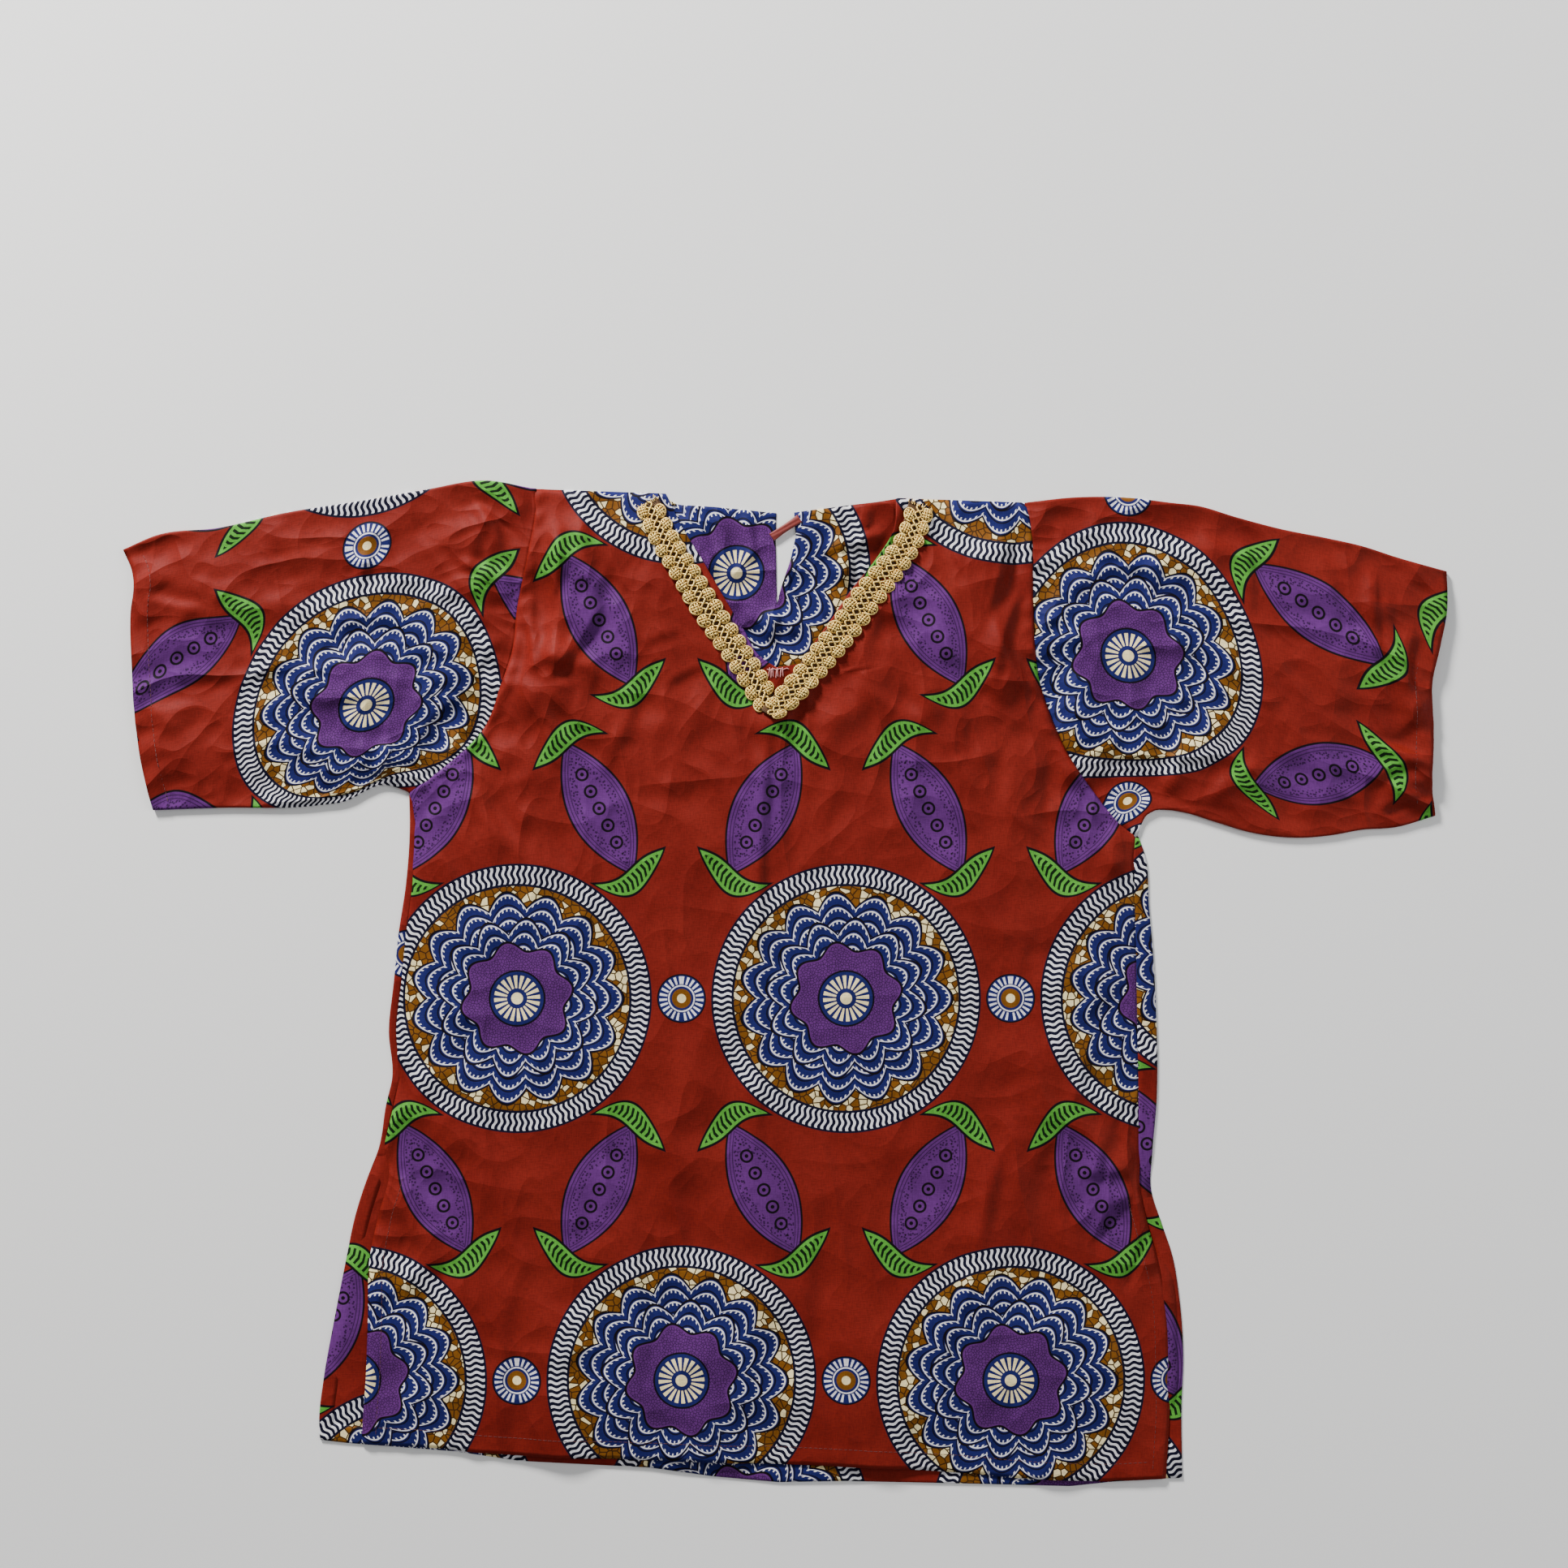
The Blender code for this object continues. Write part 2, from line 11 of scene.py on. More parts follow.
import bmesh
import bpy
import numpy as np
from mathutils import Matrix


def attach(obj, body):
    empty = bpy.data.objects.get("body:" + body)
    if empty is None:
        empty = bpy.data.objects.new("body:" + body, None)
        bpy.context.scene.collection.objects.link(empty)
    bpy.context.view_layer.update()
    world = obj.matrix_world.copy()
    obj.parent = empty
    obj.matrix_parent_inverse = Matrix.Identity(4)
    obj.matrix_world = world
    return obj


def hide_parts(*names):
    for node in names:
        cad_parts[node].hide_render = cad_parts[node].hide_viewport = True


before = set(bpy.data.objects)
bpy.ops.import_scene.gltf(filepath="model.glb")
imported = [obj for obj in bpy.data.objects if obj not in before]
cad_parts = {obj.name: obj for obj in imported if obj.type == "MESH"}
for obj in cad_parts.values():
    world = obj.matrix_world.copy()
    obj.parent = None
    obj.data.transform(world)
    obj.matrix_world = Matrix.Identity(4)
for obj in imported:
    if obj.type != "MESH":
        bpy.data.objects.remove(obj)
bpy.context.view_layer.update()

MM = 0.001
BODY = "root"

# %% [markdown]
# ## The tunic's measures
# A tailor would chalk a few points and join them with smooth lines. The tables below are those
# chalk marks, the same ones that the solids were made from. Each row is a level on the tunic and
# where the edge lies at that level, so a piece can be as fine as we like between the rows.

# %% Heights and gaps
CLOTH = 0.45             # thickness of the cotton that shows
TURNED_CLOTH = 0.3       # and of what is turned over on it
TAB_CLOTH = 0.5
LAYER = 1.3              # height of the front's underside at its edges
CHEST_LIFT = 0.7         # how much higher the front lies beside the armholes
FRONT_LOFT = 1.8         # how far the front stands off the back away from its edges
FRONT_EDGE = 45.0        # distance over which the front rises from its side seams
FOLD_FADE = 14.0         # distance from a side edge over which the folds rise
CHEST_LEVELS = (105.0, 35.0, 282.0, 24.0)   # foot and rise of the chest's lift, top and fall
LOFT_LEVELS = (-285.0, 50.0, 284.0, 36.0)   # the same for the loft, from hem to shoulder
SHOULDER_TOP, SHOULDER_FALL = 286.0, 30.0   # top of the folds at the shoulder, and their fall
FRONT_LEAST = 1.45       # the front's creases never come lower than this
TURN_STEP = 0.22         # how much thicker a turned hem is
EDGE_CURL = (1.6, 0.75)  # reach and drop of the side edges where they curl down
SHOULDER_CURL = (3.0, 0.9)
PUCKER, PUCKER_SPACING = 0.4, 12.0          # of the cloth along the armhole seam
SLIT_TOP = -104.0        # level under which the slits' edges are turned
SLEEVE_HEIGHT = 2.5      # height of a flattened sleeve at its seams
SLEEVE_LOFT = 1.6        # how much more it holds in the middle
SLEEVE_FOLD = 1.3        # how far in from the edge the rounded fold reaches
SLEEVE_LEAST = 0.35      # least height of the upper layer over the sleeve's middle
SEAM_DROP = 0.95         # how much lower a sleeve starts under the body's edge
FLOOR_GAP = 0.25         # height of the middle of the cloth that lies on the floor
CREASE_DEPTH = 2.4       # how strongly the table of creases is pressed in
HEM_TURN = 10.0          # depth of the turned hems, of body and cuffs
SLIT_TURN = 8.0          # and of the slits' edges
EDGE_SPACING = 3.0       # between points along the turned edges

FRONT_LEFT_LEVELS = (-267.0, -107.0, 110.9, 286.7)
FRONT_RIGHT_LEVELS = (-287.0, -119.8, 86.0, 278.7)
BACK_LEFT_LEVELS = (-264.6, -107.0, 110.9, 286.7)
BACK_RIGHT_LEVELS = (-286.7, -119.8, 86.0, 278.7)
CENTRE_X = -4.7
FRONT_CENTRE_LEVELS = (-278.4, -112.0, 98.0, 183.0)
BACK_CENTRE_LEVELS = (-289.0, -112.0, 98.0, 219.5)

# %% Edges of the body
# Columns: level, x
ARMHOLE_LEFT = (
    (110.9, -217.6), (126.0, -196.5), (143.3, -177.7), (174.4, -164.0), (192.7, -157.9),
    (217.1, -155.1), (248.6, -149.0), (273.5, -144.8), (286.7, -145.7),
)
ARMHOLE_RIGHT = (
    (86.0, 204.4), (90.7, 197.9), (104.8, 183.8), (118.4, 173.4), (134.4, 163.1), (153.2, 154.6),
    (174.4, 147.6), (195.0, 144.8), (222.8, 143.8), (261.3, 142.9), (278.7, 140.5),
)
# Columns: level, x of the front's edge, x of the back's edge
SIDE_LEFT = (
    (-267.0, -245.3, -269.3), (-253.0, -244.7, -269.8), (-229.4, -243.0, -267.2),
    (-196.5, -241.8, -261.3), (-158.9, -240.6, -253.9), (-135.4, -235.9, -249.0),
    (-107.0, -229.5, -239.6), (-97.8, -231.7, -235.9), (-69.6, -227.5, -230.8),
    (-55.5, -224.2, -227.5), (-27.3, -226.1, -229.4), (0.9, -223.2, -226.5),
    (29.1, -220.4, -223.7), (57.3, -216.7, -219.5), (92.6, -215.0, -217.2),
    (110.9, -217.6, -217.6),
)
SIDE_RIGHT = (
    (-287.0, 220.9, 230.3), (-245.8, 223.2, 229.8), (-215.3, 222.8, 230.8),
    (-181.4, 220.9, 228.4), (-157.4, 215.3, 224.3), (-140.1, 210.5, 218.5),
    (-119.8, 205.9, 212.2), (-97.8, 205.9, 212.9), (-69.6, 205.9, 215.3),
    (-10.8, 204.9, 214.8), (21.1, 204.4, 213.0), (45.6, 203.5, 210.8), (73.8, 202.9, 208.7),
    (86.0, 204.4, 204.4),
)
# Columns: x, y
FRONT_HEM = (
    (-245.3, -267.0), (-197.9, -269.6), (-177.2, -272.0), (-130.2, -274.4), (-70.5, -276.4),
    (-4.7, -278.4), (67.2, -281.1), (100.1, -283.4), (133.0, -286.6), (187.5, -288.8),
    (220.9, -287.0),
)
BACK_HEM = (
    (-269.3, -264.6), (-252.4, -266.5), (-191.3, -271.2), (-153.7, -276.8), (-78.5, -280.6),
    (-40.9, -285.8), (-3.3, -289.1), (34.3, -288.4), (109.5, -290.0), (165.9, -291.4),
    (203.5, -287.4), (230.3, -286.7),
)
FRONT_TOP = ((-145.7, 286.7), (-69.0, 284.0), (62.5, 281.5), (140.5, 278.7))
BACK_TOP = (
    (-145.7, 286.7), (-70.0, 281.8), (-62.0, 277.6), (-40.9, 276.4), (-5.2, 272.8), (5.8, 273.2),
    (15.5, 274.5), (53.1, 279.2), (67.2, 281.5), (140.5, 278.7),
)

# %% Neck edges and sleeve outlines
# Columns: x, y, from the notch of the V up to the shoulder
NECK_LEFT = (
    (-4.7, 183.0), (-12.0, 187.6), (-23.8, 205.0), (-35.4, 224.0), (-49.6, 248.3),
    (-58.4, 262.5), (-69.0, 284.0),
)
NECK_RIGHT = (
    (-4.7, 183.0), (5.5, 184.5), (14.6, 194.6), (26.6, 210.8), (38.6, 228.2), (52.4, 245.4),
    (62.5, 261.5), (64.5, 281.5),
)
# Columns: x, y, from the foot of the back slit up to the neck
SLIT_LEFT = ((-4.7, 219.5), (-5.2, 231.2), (-5.4, 245.0), (-5.8, 259.4), (-5.2, 272.8))
SLIT_RIGHT = ((-4.7, 219.5), (-1.2, 231.2), (3.6, 245.0), (6.8, 259.4), (5.8, 273.2))
# Columns: x, y, from the armhole out to the cuff
SLEEVE_TOP_LEFT = (
    (-145.7, 286.7), (-172.5, 291.4), (-210.1, 285.8), (-243.0, 280.1), (-290.0, 272.6),
    (-327.6, 264.1), (-365.2, 259.4), (-383.5, 251.4),
)
SLEEVE_FOOT_LEFT = (
    (-217.6, 110.9), (-225.0, 113.8), (-234.5, 115.1), (-243.9, 111.4), (-252.4, 106.7),
    (-271.2, 103.4), (-327.6, 102.0), (-366.1, 100.6),
)
SLEEVE_TOP_RIGHT = (
    (140.5, 278.7), (165.9, 281.5), (184.7, 282.0), (203.5, 281.1), (222.3, 278.7),
    (241.1, 276.4), (259.9, 270.7), (288.1, 263.2), (316.3, 257.6), (335.1, 253.3),
    (353.9, 247.2), (383.5, 238.8),
)
SLEEVE_FOOT_RIGHT = (
    (204.4, 86.0), (207.8, 95.0), (212.9, 99.6), (222.3, 100.6), (231.7, 99.2), (250.5, 93.5),
    (269.3, 87.9), (297.5, 84.6), (316.3, 86.0), (335.1, 89.3), (353.9, 90.7), (376.9, 97.3),
)
# Columns: level, x
CUFF_LEFT = (
    (251.4, -383.5), (240.0, -378.2), (233.6, -376.9), (214.8, -378.8), (177.2, -377.4),
    (139.6, -374.6), (111.4, -368.9), (100.6, -366.1),
)
CUFF_RIGHT = (
    (238.8, 383.5), (214.8, 383.0), (196.0, 379.3), (177.2, 375.1), (139.6, 375.5),
    (120.8, 374.1), (97.3, 376.9),
)

# %% [markdown]
# ## Folds and creases
# Cloth that is laid on a table keeps broad soft folds and some sharper creases. A broad fold is a
# round-topped ridge along a line. A crease is a thin crest along a bowed line, steep on its right
# side and long on the other, that fades out at both ends. Both go in short tables, because real
# folds are uneven and a noise pattern alone would look like crumpled paper.

# %% Tables of folds
# Columns: name, x and y of both ends, height, half width
FRONT_FOLDS = (
    ("centre crease", -8.0, 150.0, -17.0, 29.0, 2.2, 9.0),
    ("lower centre", -15.0, -65.0, -20.0, -229.0, 2.0, 16.0),
    ("left chest", -125.5, 258.0, -130.0, 170.0, 3.4, 16.0),
    ("left of the braid", -90.0, 212.0, -111.0, 156.0, 2.0, 12.0),
    ("left armhole", -136.0, 190.0, -164.0, 132.0, 2.4, 9.0),
    ("right chest", 116.6, 245.0, 128.3, 170.0, 3.0, 11.0),
    ("right of the braid", 93.0, 222.0, 86.0, 161.0, 2.0, 10.0),
    ("under the braid", 70.0, 198.0, 28.0, 150.0, 1.6, 10.0),
    ("right underarm", 168.0, 130.0, 194.0, 72.0, 2.5, 8.0),
    ("left waist", -215.0, -32.0, -188.0, -88.0, 1.5, 11.0),
    ("left of centre", -41.0, -13.0, -64.0, -98.0, 2.0, 16.0),
    ("right of centre", 156.0, -41.0, 110.0, -182.0, 2.5, 15.0),
    ("right slit", 193.0, -104.0, 211.0, -164.0, 2.6, 8.0),
    ("left slit", -217.0, -118.0, -191.0, -182.0, 2.0, 11.0),
    ("hem wave one", -135.0, -201.0, -130.0, -274.0, 2.5, 18.0),
    ("hem wave two", -45.6, -206.0, -41.0, -276.0, 2.0, 18.0),
    ("hem wave three", 53.0, -206.0, 57.8, -276.0, 2.5, 20.0),
    ("hem wave four", 152.0, -206.0, 156.5, -286.0, 2.5, 20.0),
)
SLEEVE_FOLDS = (
    ("left shoulder", -178.0, 274.0, -163.0, 231.0, 2.2, 9.0),
    ("left cuff", -372.0, 233.6, -299.0, 222.0, 2.0, 10.0),
    ("left underarm", -232.0, 118.0, -257.0, 165.0, 2.6, 11.0),
    ("left middle", -214.0, 168.0, -296.0, 184.0, 1.6, 14.0),
    ("right shoulder", 278.7, 258.0, 222.0, 240.0, 2.0, 14.0),
    ("right armhole", 160.0, 193.6, 180.0, 136.0, 2.0, 9.0),
    ("right underarm", 214.0, 104.0, 250.5, 146.6, 2.5, 10.0),
    ("right upper crease", 342.0, 238.0, 340.0, 179.5, 2.0, 9.0),
    ("right cuff", 344.5, 215.0, 368.0, 156.0, 1.5, 8.0),
    ("right lower fold", 316.3, 97.0, 372.0, 124.0, 3.0, 11.0),
)

# %% Tables of creases
# Columns: name, x and y of both ends, bow to the right, height, half width
FRONT_CREASES = (
    ("right neck roll", 69.0, 285.0, 59.0, 252.0, 0.0, 0.8, 2.4),
    ("left neck roll", -55.0, 252.0, -69.0, 286.0, 0.0, 0.6, 2.0),
    ("centre line", -9.0, 151.0, -15.5, 22.0, 1.5, 0.9, 2.4),
    ("centre line low", -14.0, 10.0, -19.0, -120.0, -2.0, 0.45, 2.6),
    ("left shoulder a", -118.0, 281.0, -104.0, 214.0, 5.0, 0.8, 4.0),
    ("left shoulder b", -140.0, 262.0, -112.0, 226.0, -3.0, 0.7, 3.6),
    ("left chest a", -142.0, 214.0, -96.0, 172.0, 5.0, 0.8, 4.4),
    ("left chest b", -150.0, 182.0, -118.0, 128.0, 4.0, 0.8, 4.0),
    ("left chest c", -84.0, 178.0, -112.0, 120.0, -4.0, 0.6, 4.5),
    ("left underarm a", -190.0, 126.0, -150.0, 74.0, 6.0, 0.9, 4.5),
    ("left underarm b", -206.0, 108.0, -186.0, 48.0, 4.0, 0.7, 4.0),
    ("left shoulder c", -147.0, 236.0, -142.0, 174.0, 3.0, 0.8, 3.2),
    ("left shoulder d", -131.0, 270.0, -138.0, 214.0, -3.0, 0.8, 3.4),
    ("left chest d", -106.0, 222.0, -142.0, 174.0, -3.0, 1.0, 3.2),
    ("left chest e", -100.0, 252.0, -112.0, 196.0, 3.0, 0.5, 4.0),
    ("braid pull a", -58.0, 206.0, -84.0, 196.0, 2.0, 0.5, 3.0),
    ("braid pull b", -44.0, 186.0, -72.0, 172.0, 2.0, 0.5, 3.0),
    ("right shoulder a", 126.0, 274.0, 112.0, 206.0, -4.0, 0.9, 4.0),
    ("right shoulder b", 100.0, 278.0, 104.0, 236.0, 3.0, 0.6, 3.4),
    ("right chest a", 138.0, 232.0, 120.0, 168.0, 4.0, 0.8, 3.6),
    ("right chest b", 80.0, 210.0, 110.0, 146.0, -6.0, 0.7, 4.4),
    ("right chest c", 40.0, 176.0, 84.0, 150.0, 3.0, 0.6, 4.0),
    ("right chest d", 119.0, 216.0, 143.0, 164.0, 3.0, 1.0, 3.4),
    ("right chest e", 92.0, 186.0, 104.0, 128.0, -3.0, 0.7, 4.0),
    ("right chest f", 132.0, 262.0, 126.0, 220.0, 2.0, 0.7, 3.2),
    ("right armhole a", 150.0, 160.0, 176.0, 104.0, 5.0, 0.9, 3.4),
    ("right armhole b", 160.0, 124.0, 196.0, 60.0, 4.0, 0.8, 3.8),
    ("left waist a", -218.0, 6.0, -170.0, -22.0, 6.0, 0.5, 5.0),
    ("left waist b", -222.0, -60.0, -176.0, -52.0, -4.0, 0.5, 4.4),
    ("right waist a", 200.0, 12.0, 158.0, -20.0, -5.0, 0.5, 5.0),
    ("right side a", 201.0, -60.0, 176.0, -128.0, 5.0, 0.8, 4.0),
    ("right slit a", 203.0, -118.0, 176.0, -150.0, 4.0, 0.9, 3.2),
    ("right slit b", 206.0, -126.0, 190.0, -180.0, -3.0, 0.8, 3.0),
    ("right slit c", 204.0, -108.0, 168.0, -112.0, 3.0, 0.6, 3.2),
    ("left slit a", -226.0, -112.0, -198.0, -140.0, -3.0, 0.8, 3.4),
    ("left slit b", -228.0, -128.0, -208.0, -186.0, 3.0, 0.7, 3.6),
    ("lower left a", -150.0, -150.0, -166.0, -252.0, 5.0, 0.6, 5.0),
    ("lower left b", -96.0, -128.0, -86.0, -240.0, -6.0, 0.6, 6.0),
    ("lower middle a", 16.0, -150.0, 8.0, -268.0, 4.0, 0.6, 5.5),
    ("lower middle b", 92.0, -190.0, 98.0, -278.0, 4.0, 0.6, 5.0),
    ("lower right a", 128.0, -88.0, 112.0, -164.0, 4.0, 0.8, 4.4),
    ("lower right b", 184.0, -196.0, 196.0, -280.0, -4.0, 0.6, 5.0),
)
SLEEVE_CREASES = (
    ("left shoulder a", -168.0, 270.0, -156.0, 226.0, 3.0, 0.9, 3.6),
    ("left shoulder b", -196.0, 280.0, -176.0, 238.0, -4.0, 0.7, 4.0),
    ("left shoulder c", -194.0, 246.0, -154.0, 226.0, -2.0, 0.9, 3.0),
    ("left shoulder d", -182.0, 282.0, -152.0, 254.0, 3.0, 0.8, 2.8),
    ("left shoulder e", -240.0, 252.0, -247.0, 224.0, 2.0, 0.8, 3.2),
    ("left shoulder f", -214.0, 262.0, -172.0, 222.0, 4.0, 0.7, 3.6),
    ("left middle b", -318.0, 236.0, -306.0, 178.0, -4.0, 0.6, 4.0),
    ("left armhole a", -160.0, 204.0, -186.0, 166.0, 4.0, 0.8, 3.6),
    ("left armhole b", -178.0, 172.0, -216.0, 140.0, 5.0, 0.7, 4.4),
    ("left underarm a", -236.0, 118.0, -230.0, 158.0, 4.0, 0.9, 3.4),
    ("left underarm b", -254.0, 108.0, -276.0, 150.0, -5.0, 0.6, 4.4),
    ("left cuff a", -376.0, 226.0, -330.0, 216.0, 3.0, 0.8, 3.4),
    ("left cuff b", -374.0, 150.0, -336.0, 160.0, -3.0, 0.5, 4.0),
    ("left middle a", -300.0, 262.0, -290.0, 200.0, 6.0, 0.5, 5.0),
    ("right shoulder a", 160.0, 270.0, 178.0, 222.0, 4.0, 0.8, 4.0),
    ("right armhole a", 150.0, 214.0, 186.0, 176.0, -5.0, 0.8, 4.0),
    ("right armhole b", 160.0, 160.0, 200.0, 132.0, -4.0, 0.7, 4.0),
    ("right underarm a", 216.0, 104.0, 228.0, 150.0, 5.0, 0.9, 3.6),
    ("right underarm b", 240.0, 98.0, 284.0, 128.0, -5.0, 0.7, 4.0),
    ("right middle a", 262.0, 264.0, 269.0, 208.0, -3.0, 0.8, 3.0),
    ("right middle b", 236.0, 204.0, 268.0, 176.0, 3.0, 0.6, 3.6),
    ("right middle c", 306.0, 132.0, 330.0, 104.0, 2.0, 0.8, 3.0),
    ("right cuff d", 332.0, 138.0, 376.0, 124.0, -2.0, 0.9, 2.8),
    ("right cuff e", 365.0, 214.0, 358.0, 160.0, 2.0, 0.8, 2.4),
    ("right cuff f", 350.0, 118.0, 376.0, 102.0, 2.0, 1.0, 2.8),
    ("right crease a", 340.0, 246.0, 343.0, 178.0, 2.0, 1.0, 2.6),
    ("right crease b", 345.0, 216.0, 370.0, 154.0, 2.0, 0.8, 2.4),
    ("right crease c", 306.0, 252.0, 318.0, 196.0, -4.0, 0.6, 4.0),
    ("right cuff a", 372.0, 132.0, 330.0, 112.0, 4.0, 1.0, 3.6),
    ("right cuff b", 374.0, 112.0, 340.0, 100.0, 2.0, 0.8, 3.0),
    ("right cuff c", 374.0, 172.0, 346.0, 140.0, -3.0, 0.6, 3.6),
)
BACK_CREASES = (
    ("below the slit", -3.6, 219.0, -5.2, 196.0, 0.6, 0.7, 2.4),
    ("slit pucker left", -6.0, 218.0, -12.0, 196.0, -1.0, 0.8, 2.6),
    ("slit pucker right", -1.0, 218.0, 8.0, 200.0, 1.0, 0.8, 2.6),
    ("neck right a", 60.0, 262.0, 22.0, 254.0, -2.0, 1.6, 3.0),
    ("neck right b", 42.0, 256.0, 34.0, 228.0, 2.0, 1.5, 3.0),
    ("neck right c", 14.0, 274.0, 26.0, 246.0, 2.0, 1.1, 3.0),
    ("neck right d", 48.0, 278.0, 44.0, 262.0, -1.0, 1.0, 2.6),
    ("neck left a", -52.0, 274.0, -38.0, 234.0, 2.0, 1.5, 3.4),
    ("neck left b", -24.0, 275.0, -20.0, 240.0, -2.0, 1.0, 3.0),
    ("neck left c", -32.0, 228.0, -14.0, 208.0, 1.0, 0.9, 2.6),
    ("left slit", -244.0, -140.0, -258.0, -236.0, 3.0, 0.6, 4.0),
    ("right slit", 222.0, -150.0, 226.0, -262.0, 2.0, 0.6, 3.0),
)

# %% [markdown]
# ## Working with whole arrays
# Each piece is a grid of points, so every step below handles the whole grid at once. `follow`
# reads a table of chalk marks with a smooth line through them. `broad_folds` and `creases` turn
# the fold tables into heights, and `rumple` adds the slight unevenness that all cloth has.

# %% Helpers for shapes
def smoothstep(value):
    """3t squared minus 2t cubed, with t held between 0 and 1."""
    value = np.clip(value, 0.0, 1.0)
    return value * value * (3.0 - 2.0 * value)


def columns(table):
    """The table's columns as arrays."""
    return np.array(table, float).T


def level_of(table, x):
    """Level, at each x, of a line that is given as a table of x and y."""
    table_x, table_y = columns(table)
    return np.interp(x, table_x, table_y)


def band(y, levels):
    """1 between two levels: rises above the first one and falls to 0 again at the second."""
    foot, rise, top, fall = levels
    return smoothstep((y - foot) / rise) * smoothstep((top - y) / fall)


def follow(at, knots, values):
    """A cubic through the knots, whose slope at each one is the slope between its neighbours."""
    slopes = np.gradient(values, knots)
    at = np.clip(at, knots[0], knots[-1])
    i = np.clip(np.searchsorted(knots, at, side="right") - 1, 0, len(knots) - 2)
    width = knots[i + 1] - knots[i]
    t = (at - knots[i]) / width
    start = (2 * t**3 - 3 * t**2 + 1) * values[i] + (t**3 - 2 * t**2 + t) * width * slopes[i]
    end = (3 * t**2 - 2 * t**3) * values[i + 1] + (t**3 - t**2) * width * slopes[i + 1]
    return start + end


def broad_folds(x, y, folds):
    """Sum of ridges: height times e to the minus (distance from the line / half width) squared."""
    total = np.zeros_like(x)
    for _, x0, y0, x1, y1, height, half_width in folds:
        along = ((x - x0) * (x1 - x0) + (y - y0) * (y1 - y0)) / ((x1 - x0) ** 2 + (y1 - y0) ** 2)
        along = np.clip(along, 0.0, 1.0)
        off_x = x - x0 - along * (x1 - x0)
        off_y = y - y0 - along * (y1 - y0)
        total += height * np.exp(-(off_x**2 + off_y**2) / half_width**2)
    return total


def creases(x, y, table):
    """Sharp crests along bowed lines: a long slope on one side, a steep one and a trough on the other."""
    total = np.zeros_like(x)
    for _, x0, y0, x1, y1, bow, height, half_width in table:
        length = np.hypot(x1 - x0, y1 - y0)
        ux, uy = (x1 - x0) / length, (y1 - y0) / length
        along = ((x - x0) * ux + (y - y0) * uy) / length
        fade = smoothstep(np.minimum(along, 1.0 - along) / 0.3)
        off = (x - x0) * uy - (y - y0) * ux - bow * 4.0 * along * (1.0 - along)
        long_slope = np.exp(-np.abs(off) / (2.4 * half_width))
        steep_slope = np.exp(-(off / half_width) ** 2)
        trough = 0.28 * np.exp(-(((off + 2.0 * half_width) / (1.2 * half_width)) ** 2))
        crest = np.where(off > 0.0, long_slope, steep_slope)
        total += CREASE_DEPTH * height * fade * (crest - trough)
    return total


def rumple(x, y, size, seed):
    """Random heights from -1 to 1 on a square lattice of the given size, joined smoothly."""
    lattice = np.random.default_rng(seed).uniform(-1.0, 1.0, (97, 97))
    gx, gy = x / size + 48.0, y / size + 48.0
    i, j = np.floor(gx).astype(int) % 96, np.floor(gy).astype(int) % 96
    tx, ty = smoothstep(gx - np.floor(gx)), smoothstep(gy - np.floor(gy))
    low = lattice[i, j] * (1.0 - tx) + lattice[i + 1, j] * tx
    high = lattice[i, j + 1] * (1.0 - tx) + lattice[i + 1, j + 1] * tx
    return low * (1.0 - ty) + high * ty


def cloth_unevenness(x, y, seed):
    """Three sizes of rumple: 46, 21 and 9 mm across, each shallower than the last."""
    tilted = 0.8 * x + 0.6 * y
    broad = 0.6 * rumple(tilted, y, 46.0, seed)
    middle = 0.28 * rumple(x, y, 21.0, seed + 1)
    fine = 0.07 * rumple(x, tilted, 9.0, seed + 2)
    return broad + middle + fine


def crisp_creases(x, y, seed):
    """Minus the size of a smooth random height, so that a sharp ridge runs where it crosses zero."""
    bent_x = x + 9.0 * rumple(x, y, 37.0, seed + 5)
    bent_y = y + 9.0 * rumple(x, y, 33.0, seed + 6)
    long_x = 0.9 * bent_x + 0.44 * bent_y
    long_y = 0.55 * (0.9 * bent_y - 0.44 * bent_x)
    wide = np.sqrt(rumple(long_x, long_y, 27.0, seed) ** 2 + 0.003)
    small = np.sqrt(rumple(bent_x, 0.7 * bent_y, 14.0, seed + 1) ** 2 + 0.003)
    return 2.2 - 5.0 * wide - 2.4 * small


print(len(FRONT_FOLDS), "broad folds and", len(FRONT_CREASES), "creases on the front")


# %% Grids into meshes
def grid_faces(rows, cols, start=0):
    """Index squares of a grid of points that are numbered row by row."""
    i = np.arange(rows - 1)[:, None] * cols + np.arange(cols - 1)[None, :] + start
    return np.stack([i, i + 1, i + cols + 1, i + cols], axis=-1).reshape(-1, 4)


